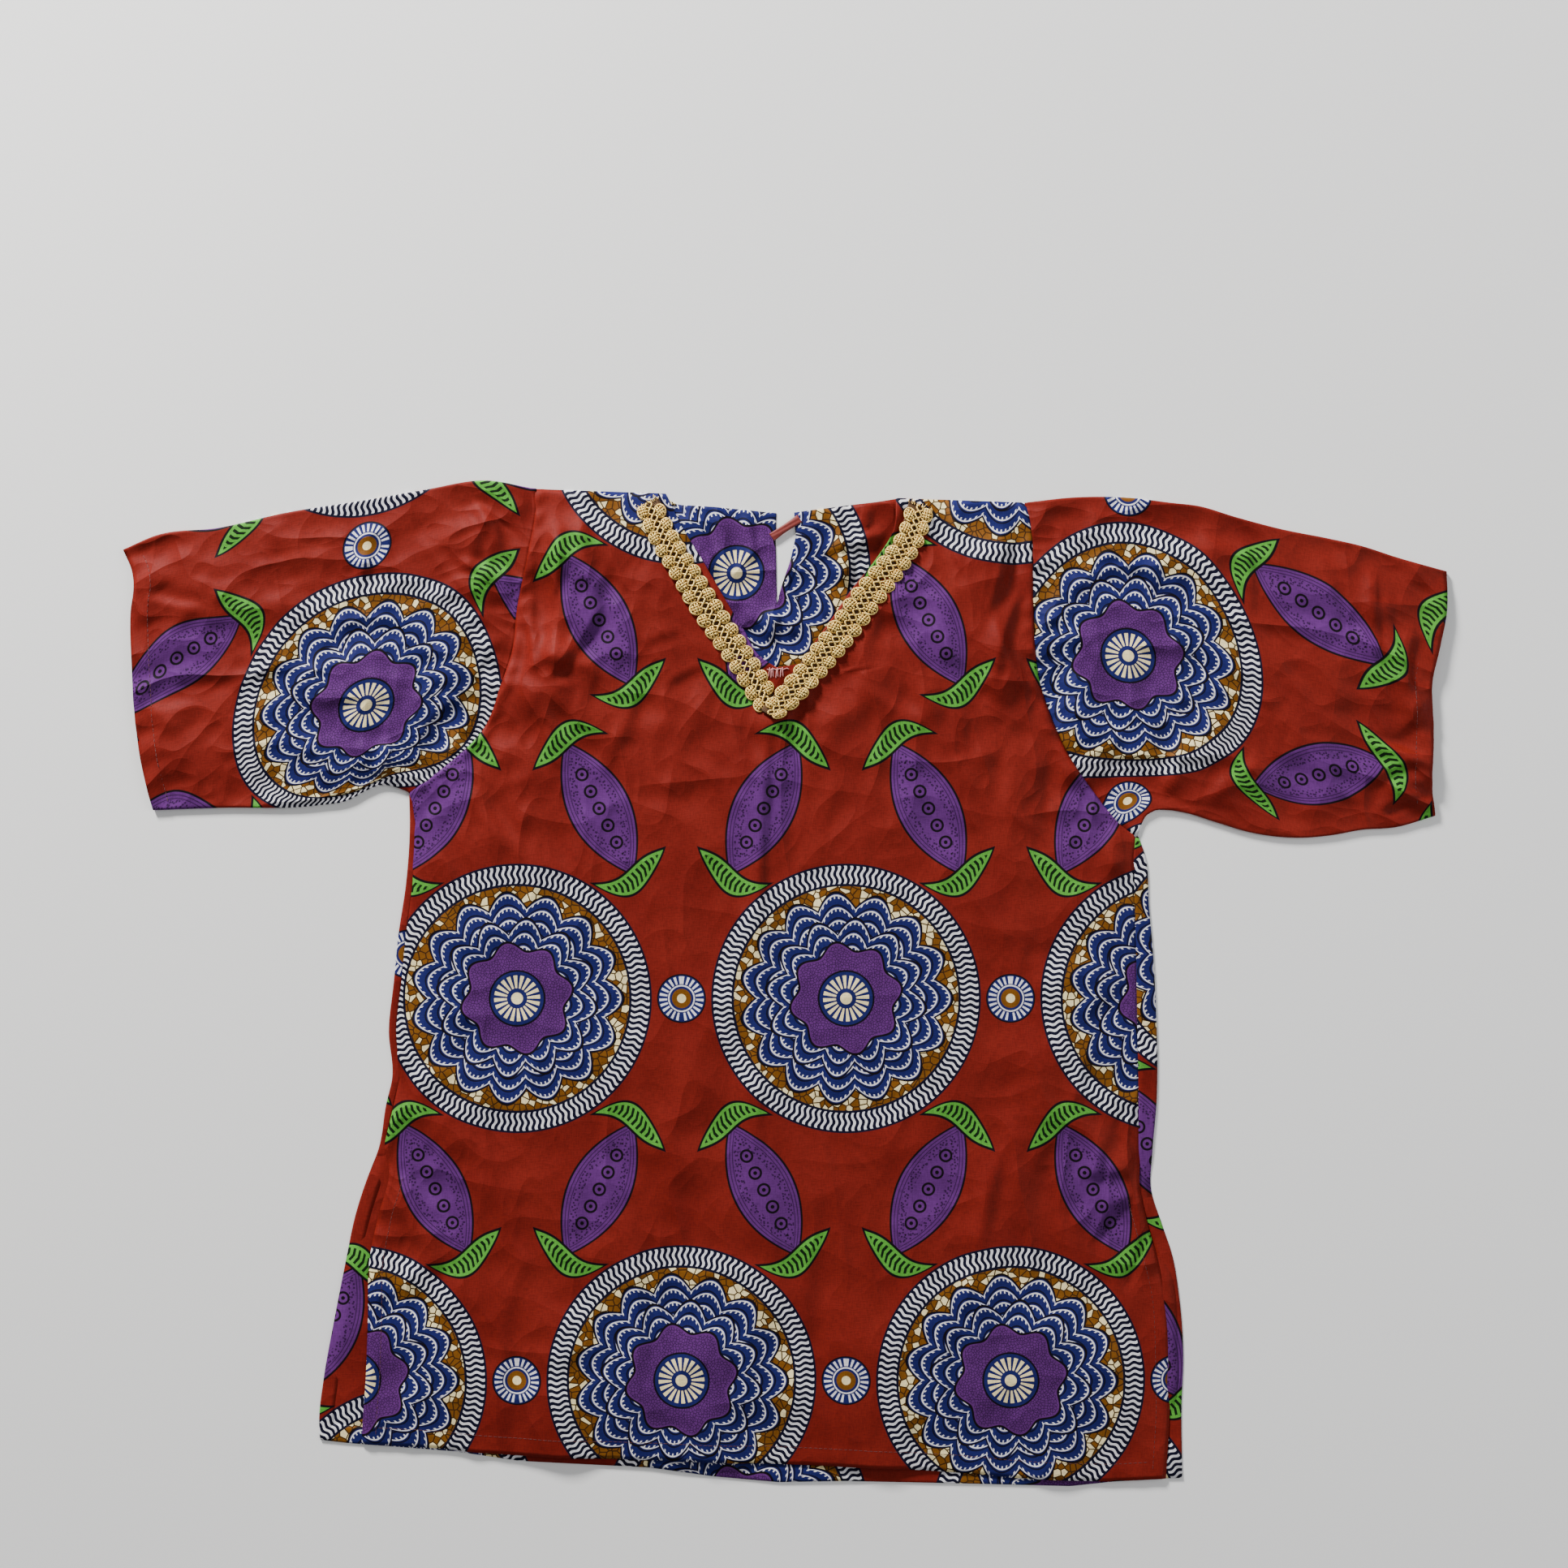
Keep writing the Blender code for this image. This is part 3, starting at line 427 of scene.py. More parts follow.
def cloth_object(name, grids, merge=True):
    """One mesh from grids of (points in mm, flat cloth coordinates in mm, faces up or not)."""
    points, cloth, faces, start = [], [], [], 0
    for grid, flat, upward in grids:
        rows, cols = grid.shape[:2]
        squares = grid_faces(rows, cols, start)
        faces.append(squares if upward else squares[:, ::-1])
        points.append(grid.reshape(-1, 3))
        cloth.append(flat.reshape(-1, 2))
        start += rows * cols
    points, cloth = np.vstack(points) * MM, np.vstack(cloth) * MM
    faces = np.vstack(faces)
    mesh = bpy.data.meshes.new(name)
    mesh.from_pydata(points.tolist(), [], faces.tolist())
    layer = mesh.uv_layers.new(name="cloth")
    layer.data.foreach_set("uv", cloth[faces.ravel()].ravel())
    if merge:
        work = bmesh.new()
        work.from_mesh(mesh)
        bmesh.ops.remove_doubles(work, verts=work.verts, dist=0.000005)
        work.to_mesh(mesh)
        work.free()
    mesh.shade_smooth()
    item = bpy.data.objects.new(name, mesh)
    bpy.context.scene.collection.objects.link(item)
    print(name, len(mesh.vertices), "points")
    return item


def give_thickness(item, thickness=CLOTH, offset=0.0):
    """Solidify turns the open sheet into a thin closed wall."""
    wall = item.modifiers.new("cloth wall", "SOLIDIFY")
    wall.thickness = thickness * MM
    wall.offset = offset
    wall.use_even_offset = True
    return item


def plan_area(grid):
    """Area of a grid seen from above, from the cross product of each square's diagonals."""
    x, y = grid[..., 0], grid[..., 1]
    one = (x[1:, 1:] - x[:-1, :-1]) * (y[1:, :-1] - y[:-1, 1:])
    two = (y[1:, 1:] - y[:-1, :-1]) * (x[1:, :-1] - x[:-1, 1:])
    return float(np.abs(one - two).sum() / 2.0) * MM * MM


# %% [markdown]
# ## The front panel
# The front was cut in one piece with a V. Its grid has two halves that share the centre line below
# the V: each row runs straight from the side edge to the centre line, or to the neck edge above the
# notch. Its height is lowest at the seams, a little higher in the chest, with the folds on top.
# Where it meets the sleeves its edge is pressed towards the body and stands proud of them.

# %% Plan of a panel
def rows_between(levels, counts):
    """Levels spaced evenly between each pair of landmarks."""
    parts = [np.linspace(a, b, n + 1)[:-1] for a, b, n in zip(levels, levels[1:], counts)]
    return np.concatenate(parts + [np.array([levels[-1]])])


def armhole_line(armhole, count):
    """Points from the underarm up to the shoulder."""
    level, x = columns(armhole)
    rows = np.linspace(level[0], level[-1], count + 1)
    return np.stack([follow(rows, level, x), rows], axis=1)


def side_line(levels, side, which, armhole, counts):
    """Points up one side of a panel. which is 1 for the front's edge and 2 for the back's."""
    table = columns(side)
    rows = rows_between(levels[:3], counts[:2])[:-1]
    below = np.stack([follow(rows, table[0], table[which]), rows], axis=1)
    return np.vstack([below, armhole_line(armhole, counts[2])])


def inner_line(levels, edge, counts, low_count):
    """Points up the centre line to the split, then along one edge of the opening."""
    low = rows_between(levels, (counts[0], counts[1], low_count))[:-1]
    centre = np.stack([np.full_like(low, CENTRE_X), low], axis=1)
    edge_x, edge_y = columns(edge)
    rows = np.linspace(edge_y[0], edge_y[-1], counts[2] - low_count + 1)
    return np.vstack([centre, np.stack([follow(rows, edge_y, edge_x), rows], axis=1)])


def panel_half(outer, inner, hem, top, cols, crowd=1.0):
    """Straight rows between two lines, bent near the hem and the top to meet their own lines."""
    across = (1.0 - (1.0 - np.linspace(0.0, 1.0, cols + 1)) ** crowd)[None, :, None]
    plan = outer[:, None, :] * (1.0 - across) + inner[:, None, :] * across
    x, y = plan[..., 0].copy(), plan[..., 1].copy()
    rows = len(outer)
    up = np.linspace(0.0, 1.0, rows)[:, None]
    for table, row, weight in ((hem, 0, 1.0 - up / 0.12), (top, rows - 1, (up - 0.9) / 0.1)):
        y += smoothstep(weight) * (level_of(table, x[row]) - y[row])[None, :]
    return np.stack([x, y], axis=2)


# %% Height of the front
def front_edge_x(level, armhole, side):
    """x of the front's edge: the side table below the underarm and the armhole above it."""
    arm_level, arm_x = columns(armhole)
    side_level, side_x, _ = columns(side)
    below = np.interp(level, side_level, side_x)
    return np.where(level < arm_level[0], below, np.interp(level, arm_level, arm_x))


def edge_distance(x, y):
    """How far a point is from the nearer side edge of the front."""
    to_left = x - front_edge_x(y, ARMHOLE_LEFT, SIDE_LEFT)
    return np.minimum(to_left, front_edge_x(y, ARMHOLE_RIGHT, SIDE_RIGHT) - x)


def front_base(x, y):
    """The solids' own underside: a base height, a lift in the chest, a loft inside, and folds."""
    near = edge_distance(x, y)
    height = LAYER + CHEST_LIFT * band(y, CHEST_LEVELS)
    height += FRONT_LOFT * smoothstep(near / FRONT_EDGE) * band(y, LOFT_LEVELS)
    calm = smoothstep(near / FOLD_FADE) * smoothstep((SHOULDER_TOP - y) / SHOULDER_FALL)
    return height + broad_folds(x, y, FRONT_FOLDS) * calm


def curl_down(distance, curl):
    """How far an edge curls down: a square of what is left of the curl's reach."""
    reach, drop = curl
    return drop * np.clip(1.0 - distance / reach, 0.0, 1.0) ** 2


def front_height(x, y):
    """The base with creases, unevenness, seam puckers, a pressed edge and curled-down sides."""
    near = edge_distance(x, y)
    inside = smoothstep(near / 10.0) * smoothstep((287.0 - y) / 14.0)
    height = front_base(x, y) + 0.3
    height += creases(x, y, FRONT_CREASES) * inside
    calm = smoothstep(near / 22.0) * smoothstep((287.0 - y) / 20.0)
    height += cloth_unevenness(x, y, 11) * calm
    height += crisp_creases(x, y, 17) * calm * restless(x, y, near) * braid_distance(x, y)
    height = np.maximum(height, FRONT_LEAST + 0.1 * rumple(x, y, 15.0, 3))
    height += TURN_STEP * smoothstep((HEM_TURN - (y - level_of(FRONT_HEM, x))) / 1.2)
    height += TURN_STEP * smoothstep((SLIT_TURN - near) / 1.2) * smoothstep((SLIT_TOP - y) / 6.0)
    above_underarm = smoothstep((y - 96.0) / 16.0)
    pucker = PUCKER * np.sin(2.0 * pi * y / PUCKER_SPACING + 3.0 * rumple(x, y, 17.0, 5))
    proud = seam_stand(x, y) + pucker
    height += proud * np.exp(-((near - 3.2) / 3.6) ** 2) * above_underarm
    height -= curl_down(near, EDGE_CURL)
    return height - curl_down(level_of(FRONT_TOP, x) - y, SHOULDER_CURL)


def restless(x, y, near):
    """Where the cloth is creased most: by the armholes and shoulders, the sides and slit tops."""
    by_side = np.exp(-near / 34.0)
    chest = smoothstep((y - 60.0) / 60.0)
    slit_top = np.exp(-(((y + 115.0) / 55.0) ** 2))
    calmer = 0.6 + 0.4 * rumple(x, y, 70.0, 91)
    return calmer * (0.3 + 0.9 * chest * (0.3 + by_side)) + 0.9 * slit_top * by_side


BRAID_POINT = (-10.0, 158.0)                     # where the middle lines of the braid's arms meet
BRAID_TOPS = ((-79.0, 279.0), (79.0, 277.0))     # and where they end at the shoulders


def braid_distance(x, y):
    """From 0 under the braid's two arms to 1 from 20 mm away."""
    x, y = x - BRAID_POINT[0], y - BRAID_POINT[1]
    nearest = np.full_like(x, np.inf)
    for top_x, top_y in BRAID_TOPS:
        across, up = top_x - BRAID_POINT[0], top_y - BRAID_POINT[1]
        length = np.hypot(across, up)
        ux, uy = across / length, up / length
        along = np.clip(x * ux + y * uy, 0.0, length)
        nearest = np.minimum(nearest, np.hypot(x - along * ux, y - along * uy))
    return smoothstep((nearest - 9.0) / 11.0)


def seam_stand(x, y):
    """How proud the armhole seam stands: most at the right underarm and the left shoulder."""
    right = 2.0 * np.exp(-(((y - 128.0) / 36.0) ** 2)) * smoothstep(x / 20.0)
    left = 0.9 * np.exp(-(((y - 205.0) / 40.0) ** 2)) * smoothstep(-x / 20.0)
    return 0.55 + right + left


# %% Make the front
BODY_COUNTS = (64, 84, 76)       # rows to the slit top, to the underarm and to the shoulder
FRONT_LOW = 35                   # rows from underarm level to the notch
FRONT_COLS = 88
PRINT_FRONT = (35.5, -8.5)       # where a medallion's centre lies on the front


def panel_plans(halves, which, centre, hem, top, low_count, cols, crowd=1.0):
    """Plans of a panel's two halves, from their levels, side, armhole and opening's edge."""
    plans = []
    for levels, side, armhole, edge in halves:
        outer = side_line(levels, side, which, armhole, BODY_COUNTS)
        inner = inner_line(centre, edge, BODY_COUNTS, low_count)
        plans.append(panel_half(outer, inner, hem, top, cols, crowd))
    return plans


def make_panel(name, plans, height, print_at):
    """Gives the plans their heights and joins them. The halves' rows run opposite ways."""
    grids = []
    for plan, upward in zip(plans, (True, False)):
        grid = np.dstack([plan, height(plan[..., 0], plan[..., 1])])
        grids.append((grid, plan - print_at, upward))
        rise = np.diff(grid[..., 2], axis=1) / np.diff(grid[..., 0], axis=1)
        steep = np.degrees(np.arctan(np.percentile(np.abs(rise), (50, 90, 99))))
        print(name, "slopes in degrees at 50, 90 and 99 per cent:", *steep.round(1))
    area = sum(plan_area(grid) for grid, _, _ in grids)
    print(name, "shows", round(area, 4), "square metres")
    return give_thickness(cloth_object(name, grids)), area


front_plans = panel_plans(
    ((FRONT_LEFT_LEVELS, SIDE_LEFT, ARMHOLE_LEFT, NECK_LEFT),
     (FRONT_RIGHT_LEVELS, SIDE_RIGHT, ARMHOLE_RIGHT, NECK_RIGHT)),
    1, FRONT_CENTRE_LEVELS, FRONT_HEM, FRONT_TOP, FRONT_LOW, FRONT_COLS)
front_cloth, front_area = make_panel("front_cloth", front_plans, front_height, PRINT_FRONT)

# %% [markdown]
# ## The back panel
# The back lies flat under the front. It shows in four places: inside the V with its hemmed slit,
# past both side seams where the cloth rolls over the fold, beside the slits and below the front's
# hem. It is built as the front is, with its own edge tables.

# %% Make the back
BACK_LOW = 50                    # rows from underarm level to the foot of the slit
BACK_COLS = 56
PRINT_BACK = (-28.0, 238.0)      # where a medallion's centre lies on the back
BACK_BASE = 0.35                 # height of its cloth over the floor
BACK_WAVE = 0.35                 # half of what its hem waves


def back_height(x, y):
    """Flat on the floor with fine creases where it shows, and slight waves at its hem."""
    height = BACK_BASE + 0.06 * (1.0 + rumple(x, y, 24.0, 31))
    height += np.maximum(creases(x, y, BACK_CREASES), -0.05)
    over_hem = np.exp(-np.clip(y - level_of(BACK_HEM, x), 0.0, None) / 7.0)
    return height + BACK_WAVE * over_hem * (1.0 + rumple(x, y, 31.0, 33))


back_plans = panel_plans(
    ((BACK_LEFT_LEVELS, SIDE_LEFT, ARMHOLE_LEFT, SLIT_LEFT),
     (BACK_RIGHT_LEVELS, SIDE_RIGHT, ARMHOLE_RIGHT, SLIT_RIGHT)),
    2, BACK_CENTRE_LEVELS, BACK_HEM, BACK_TOP, BACK_LOW, BACK_COLS, crowd=1.6)
back_cloth, back_area = make_panel("back_cloth", back_plans, back_height, PRINT_BACK)

# %% [markdown]
# ## How creased each place is
# The finest creases are sharper than the grids, so the cotton's bump draws them. It reads an
# attribute that says how creased the cloth is: most by the armholes, the cuffs and the slit tops.

# %% Mark the creased places
def mark_creased(item, amount):
    """Writes amount(x, y) on every point of a piece."""
    spots = np.empty(3 * len(item.data.vertices), np.float32)
    item.data.vertices.foreach_get("co", spots)
    creased = np.clip(amount(spots[0::3] / MM, spots[1::3] / MM), 0.0, 1.4)
    item.data.attributes.new("creased", "FLOAT", "POINT").data.foreach_set("value", creased)
    print(item.name, "is creased", *np.percentile(creased, (5, 50, 95)).round(2))


def front_creased(x, y):
    return 0.22 + 0.85 * restless(x, y, np.maximum(edge_distance(x, y), 0.0))


def back_creased(_, y):
    return 0.35 + 0.6 * smoothstep((y - 190.0) / 20.0)


def sleeve_creased(x, _):
    """Falls away from the armhole and rises again to the cuff."""
    out = np.abs(x)
    return 0.5 + 0.55 * np.exp((150.0 - out) / 45.0) + 0.4 * np.exp((out - 380.0) / 40.0)


mark_creased(front_cloth, front_creased)
mark_creased(back_cloth, back_creased)

# %% [markdown]
# ## Turned edges of the back
# Cloth that is folded over shows a rounded edge and a second layer. At the side seams the back
# rolls over its fold and comes up to the front's edge. At the side slits, the hem and the neck's
# slit it is turned to the inside and stitched down. Each is a strip between two lines with a
# rounded outer side, lying on the back.

# %% Strips
def strip_grid(outer, inner, top):
    """A strip that falls from the height top along a quarter round at its outer line."""
    across = np.array([0.0, 0.02, 0.08, 0.2, 0.4, 0.7, 1.0])[None, :, None]
    plan = outer[:, None] * (1.0 - across) + inner[:, None] * across
    width = np.linalg.norm(inner - outer, axis=1)[:, None]
    depth = np.clip(across[..., 0] * width / 1.2, 0.0, 1.0)
    rise = np.sqrt(1.0 - (1.0 - depth) ** 2)
    height = FLOOR_GAP + (np.asarray(top).reshape(-1, 1) - FLOOR_GAP) * rise
    height -= 0.2 * smoothstep((across[..., 0] - 0.7) / 0.3)
    return np.dstack([plan, height])


def shifted(line, distance):
    """A line moved to its right by the distance."""
    along = np.gradient(line, axis=0)
    along = along / np.linalg.norm(along, axis=1)[:, None]
    return line + distance * np.stack([along[:, 1], -along[:, 0]], axis=1)


def table_line(table, spacing):
    """Points along a table of x and y, evenly spaced."""
    points = np.array(table, float)
    steps = np.linalg.norm(np.diff(points, axis=0), axis=1)
    length = np.concatenate([[0.0], np.cumsum(steps)])
    at = np.linspace(0.0, length[-1], int(length[-1] / spacing) + 1)
    return np.stack([np.interp(at, length, points[:, 0]), np.interp(at, length, points[:, 1])], axis=1)


def side_edges(side, low, high):
    """The back's and the front's edge between two levels."""
    level, front_x, back_x = columns(side)
    rows = np.linspace(low, high, int((high - low) / EDGE_SPACING) + 1)
    outer = np.stack([follow(rows, level, back_x), rows], axis=1)
    return outer, np.stack([follow(rows, level, front_x), rows], axis=1)


ROLL_HEIGHT = 1.35       # of the back's edge where it comes up to the front's
TURN_HEIGHT = 0.8        # of a turned edge
HEM_HEIGHT = 0.95        # of the turned hem
SUNK_HEIGHT = 0.3        # where a strip's end goes under the back's own surface
SINK_LENGTH = 10.0       # length over which a strip's ends sink
ROLL_RISE = 26.0         # length over which the roll rises above the slit
NECK_TURN = 4.5          # depth of the turned edges of the neck's slit


def turn_strip(line, toward, depth, top):
    """A strip on the back from just outside a line to the depth inside it, sinking at both ends."""
    outer, inner = shifted(line, -toward * 0.3), shifted(line, toward * depth)
    length = np.concatenate([[0.0], np.cumsum(np.linalg.norm(np.diff(line, axis=0), axis=1))])
    full = smoothstep(np.minimum(length, length[-1] - length) / SINK_LENGTH)
    grid = strip_grid(outer, inner, SUNK_HEIGHT + (top - SUNK_HEIGHT) * full)
    return grid, grid[..., :2] - PRINT_BACK, toward > 0.0


def back_turns():
    grids = []
    for side, low, high, outward in (
        (SIDE_LEFT, -107.0, 109.0, -1.0), (SIDE_RIGHT, -119.8, 85.0, 1.0),
    ):
        outer, seam = side_edges(side, low, high)
        inner = seam - [outward * 1.2, 0.0]
        rise = smoothstep((outer[:, 1] - low) / ROLL_RISE)
        roll = SUNK_HEIGHT + (ROLL_HEIGHT - SUNK_HEIGHT) * rise
        grid = strip_grid(shifted(outer, outward * 0.3), inner, roll)
        grids.append((grid, grid[..., :2] - PRINT_BACK, outward < 0.0))
        outer, _ = side_edges(side, -264.0 if outward < 0.0 else -286.0, low)
        grids.append(turn_strip(outer, -outward, SLIT_TURN, TURN_HEIGHT))
    grids.append(turn_strip(table_line(BACK_HEM, EDGE_SPACING), -1.0, HEM_TURN, HEM_HEIGHT))
    for slit, toward in ((SLIT_LEFT, -1.0), (SLIT_RIGHT, 1.0)):
        edge = table_line(slit, EDGE_SPACING / 2.0)[3:]
        grids.append(turn_strip(edge, toward, NECK_TURN, TURN_HEIGHT))
    return grids


back_turned_edges = cloth_object("back_turned_edges", back_turns(), merge=False)
give_thickness(back_turned_edges, TURNED_CLOTH)
mark_creased(back_turned_edges, back_creased)

# %% [markdown]
# ## The sleeves
# A sleeve is one piece of cloth sewn into a tube and pressed flat. Its plan blends four lines: the
# armhole and the cuff across it, the shoulder fold and the underarm seam along it. Each cross
# section is a ring: a rounded fold, the upper layer, another rounded fold and the lower layer. The
# cloth's own coordinates run round the ring without a break, so that the print does too.

# %% Plan and rings of a sleeve
SLEEVE_ROWS = 76
SLEEVE_STATIONS = 100
FOLD_STEPS = np.array([0.0, 0.12, 0.4, 0.8, 1.3])   # extra columns' distances from a fold
CUFF_STEP = 0.25         # how much thicker the turned cuff is
TUCK = 1.8               # how far the upper layer goes under the body's edge


def sleeve_plan(armhole, top, foot, cuff, outward):
    """Blends the four edges of the sleeve, less the corners that are then counted twice."""
    seam = shifted(armhole_line(armhole, SLEEVE_ROWS), outward * 0.2)[::-1]
    down = np.linspace(0.0, 1.0, SLEEVE_ROWS + 1)
    along = np.linspace(0.0, 1.0, SLEEVE_STATIONS + 1) ** 1.15
    cuff_y, cuff_x = columns(cuff)
    cuff_rows = cuff_y[0] + (cuff_y[-1] - cuff_y[0]) * down
    cuff_line = np.stack([follow(-cuff_rows, -cuff_y, cuff_x), cuff_rows], axis=1)
    edges = []
    for table, start, end in ((top, seam[0], cuff_line[0]), (foot, seam[-1], cuff_line[-1])):
        edge_x, edge_y = columns(table)
        x = start[0] + (end[0] - start[0]) * along
        edge = np.stack([x, follow(outward * x, outward * edge_x, edge_y)], axis=1)
        edge[0] = start
        edges.append(edge)
    u, v = along[:, None, None], down[None, :, None]
    across = (1.0 - u) * seam[None] + u * cuff_line[None]
    lengthwise = (1.0 - v) * edges[0][:, None] + v * edges[1][:, None]
    corners = (1.0 - v) * ((1.0 - u) * seam[0] + u * cuff_line[0])
    corners = corners + v * ((1.0 - u) * seam[-1] + u * cuff_line[-1])
    return across + lengthwise - corners


def add_fold_points(plan):
    """Puts extra columns just inside both folds, where the ring turns quickly."""
    def near(edge, inside):
        inward = plan[:, inside] - plan[:, edge]
        inward /= np.linalg.norm(inward, axis=1)[:, None]
        return plan[:, edge][:, None] + FOLD_STEPS[None, :, None] * inward[:, None]
    return np.concatenate([near(0, 1), plan[:, 1:-1], near(-1, -2)[:, ::-1]], axis=1)


def sleeve_height(x, y, u, v, seed):
    """How far the upper layer stands above its seam height: loft, folds, creases, unevenness."""
    inward = smoothstep(np.minimum(v, 1.0 - v) / 0.25)
    seam = smoothstep(u / 0.14)
    loft = SLEEVE_LOFT * inward * smoothstep(u / 0.2)
    fine = creases(x, y, SLEEVE_CREASES) + cloth_unevenness(x, y, seed)
    by_armhole = np.exp(-u / 0.25) + 0.6 * np.exp(-(1.0 - u) / 0.25)
    fine += (0.3 + 0.6 * by_armhole) * crisp_creases(x, y, seed + 7)
    close = smoothstep(np.minimum(v, 1.0 - v) / 0.06)
    ripple = 0.4 * np.sin(2.0 * pi * y / 13.0) * np.exp(-((u - 0.05) / 0.06) ** 2)
    return loft + broad_folds(x, y, SLEEVE_FOLDS) * inward * seam + (fine + ripple) * close * seam


def sleeve_ring(plan, outward, seed):
    """Points and cloth coordinates round the flattened tube at every station."""
    wide = add_fold_points(plan)
    rows, cols, _ = wide.shape
    steps = np.linalg.norm(np.diff(wide, axis=1), axis=2)
    down = np.concatenate([np.zeros((rows, 1)), np.cumsum(steps, axis=1)], axis=1)
    width = down[:, -1:]
    u = np.linspace(0.0, 1.0, rows)[:, None]
    v = down / width
    near = np.minimum(down, width - down) / SLEEVE_FOLD
    round_off = np.sqrt(np.clip(1.0 - (1.0 - np.clip(near, 0.0, 1.0)) ** 2, 0.0, 1.0))
    middle = SLEEVE_HEIGHT / 2.0
    x, y = wide[..., 0], wide[..., 1]
    lift = sleeve_height(x, y, u, v, seed)
    drop = SEAM_DROP * (1.0 - smoothstep(u / 0.06))
    cuff_step = CUFF_STEP * smoothstep((HEM_TURN - np.abs(x[-1:] - x)) / 1.2)
    half = middle - FLOOR_GAP
    upper = middle + np.maximum(half - drop + lift + cuff_step, SLEEVE_LEAST) * round_off
    lower = middle - half * round_off
    tucked = wide.copy()
    tucked[0] = shifted(wide[0][::-1], -outward * TUCK)[::-1]
    top_layer = np.dstack([tucked, upper])
    low_layer = np.dstack([wide, lower])
    ring = np.concatenate([top_layer, low_layer[:, -2::-1]], axis=1)
    seam_x = np.abs(x - x[0, 0])
    cloth_top = np.dstack([down, seam_x])
    cloth_low = np.dstack([2.0 * width - down, seam_x])
    return ring, np.concatenate([cloth_top, cloth_low[:, -2::-1]], axis=1)


# %% Make the sleeves
def make_sleeve(name, armhole, top, foot, cuff, outward, print_at, seed):
    plan = sleeve_plan(armhole, top, foot, cuff, outward)
    ring, cloth = sleeve_ring(plan, outward, seed)
    item = cloth_object(name, [(ring, cloth - print_at, outward > 0.0)])
    mark_creased(item, sleeve_creased)
    area = 2.0 * plan_area(plan)
    print(name, "shows", round(area, 4), "square metres all round")
    return give_thickness(item), area


sleeve_left_cloth, sleeve_left_area = make_sleeve(
    "sleeve_left_cloth", ARMHOLE_LEFT, SLEEVE_TOP_LEFT, SLEEVE_FOOT_LEFT, CUFF_LEFT,
    -1.0, (122.0, 96.0), 51)
sleeve_right_cloth, sleeve_right_area = make_sleeve(
    "sleeve_right_cloth", ARMHOLE_RIGHT, SLEEVE_TOP_RIGHT, SLEEVE_FOOT_RIGHT, CUFF_RIGHT,
    1.0, (92.0, 58.0), 71)

# %% [markdown]
# ## The wax print
# Real wax print is dyed through, so it shows on both faces. This one is a generic design of round
# sunburst medallions in staggered rows, with purple leaf-shaped panels and green curled leaves on
# a brick red ground. It is drawn with Math nodes that read the cloth's own flat coordinates, so it
# bends with the folds and crosses the sleeve's fold without a break. `Field` lets the sums be
# written as sums: each operation on a Field adds one Math node.

# %% Sums as nodes
class Field:
    """A number that changes over the cloth, kept as a node's output."""

    def __init__(self, tree, socket):
        self.tree = tree
        self.socket = socket

    def math(self, operation, *others, clamp=False):
        """One Math node with this number first and the others after it."""
        node = self.tree.nodes.new("ShaderNodeMath")
        node.operation = operation
        node.use_clamp = clamp
        for slot, value in zip(node.inputs, (self, *others)):
            if isinstance(value, Field):
                self.tree.links.new(value.socket, slot)
            else:
                slot.default_value = value
        return Field(self.tree, node.outputs[0])

    def __add__(self, other):
        return self.math("ADD", other)

    def __sub__(self, other):
        return self.math("SUBTRACT", other)

    def __mul__(self, other):
        return self.math("MULTIPLY", other)

    def __truediv__(self, other):
        return self.math("DIVIDE", other)

    def __abs__(self):
        return self.math("ABSOLUTE")

    def sin(self):
        return self.math("SINE")

    def wrap(self, low, high):
        """Repeats the number between low and high."""
        return self.math("WRAP", high, low)

    def above(self, edge):
        """1 where the number is above the edge and 0 elsewhere."""
        return self.math("GREATER_THAN", edge)

    def below(self, edge, blur=0.25):
        """1 below the edge and 0 above it, with a soft change over the blur's width."""
        return (self * (-1.0 / blur)).math("ADD", edge / blur + 0.5, clamp=True)

    def line(self, at, width, blur=0.25):
        """1 within half the width of a value, and 0 elsewhere."""
        return abs(self - at).below(width / 2.0, blur)


def length_of(x, y):
    """Square root of x squared plus y squared."""
    return (x * x + y * y).math("SQRT")


def paint(colour, over, mask):
    """Lays a colour over what is there, where the mask is 1."""
    node = mask.tree.nodes.new("ShaderNodeMix")
    node.data_type = "RGBA"
    mask.tree.links.new(mask.socket, node.inputs["Factor"])
    for slot, value in ((node.inputs[6], over), (node.inputs[7], colour)):
        if isinstance(value, tuple):
            slot.default_value = value
        else:
            mask.tree.links.new(value, slot)
    return node.outputs[2]


# %% Nodes that several materials need
def new_material(name):
    """A material with its tree of nodes and its shader."""
    material = bpy.data.materials.new(name)
    material.use_nodes = True
    return material, material.node_tree, material.node_tree.nodes["Principled BSDF"]


def two_numbers(tree, vector):
    """The first two numbers of a vector."""
    split = tree.nodes.new("ShaderNodeSeparateXYZ")
    tree.links.new(vector, split.inputs[0])
    return Field(tree, split.outputs[0]), Field(tree, split.outputs[1])


def piece_map(tree, name):
    """The flat coordinates of a piece, from its own map."""
    node = tree.nodes.new("ShaderNodeUVMap")
    node.uv_map = name
    return node.outputs[0]


def place_in_space(tree):
    return tree.nodes.new("ShaderNodeTexCoord").outputs["Object"]


def noise(tree, vector, scale, detail, dimensions="3D", distortion=0.0):
    """A smooth random number about 0.5."""
    node = tree.nodes.new("ShaderNodeTexNoise")
    node.noise_dimensions = dimensions
    node.inputs["Scale"].default_value = scale
    node.inputs["Detail"].default_value = detail
    node.inputs["Distortion"].default_value = distortion
    tree.links.new(vector, node.inputs["Vector"])
    return Field(tree, node.outputs[0])


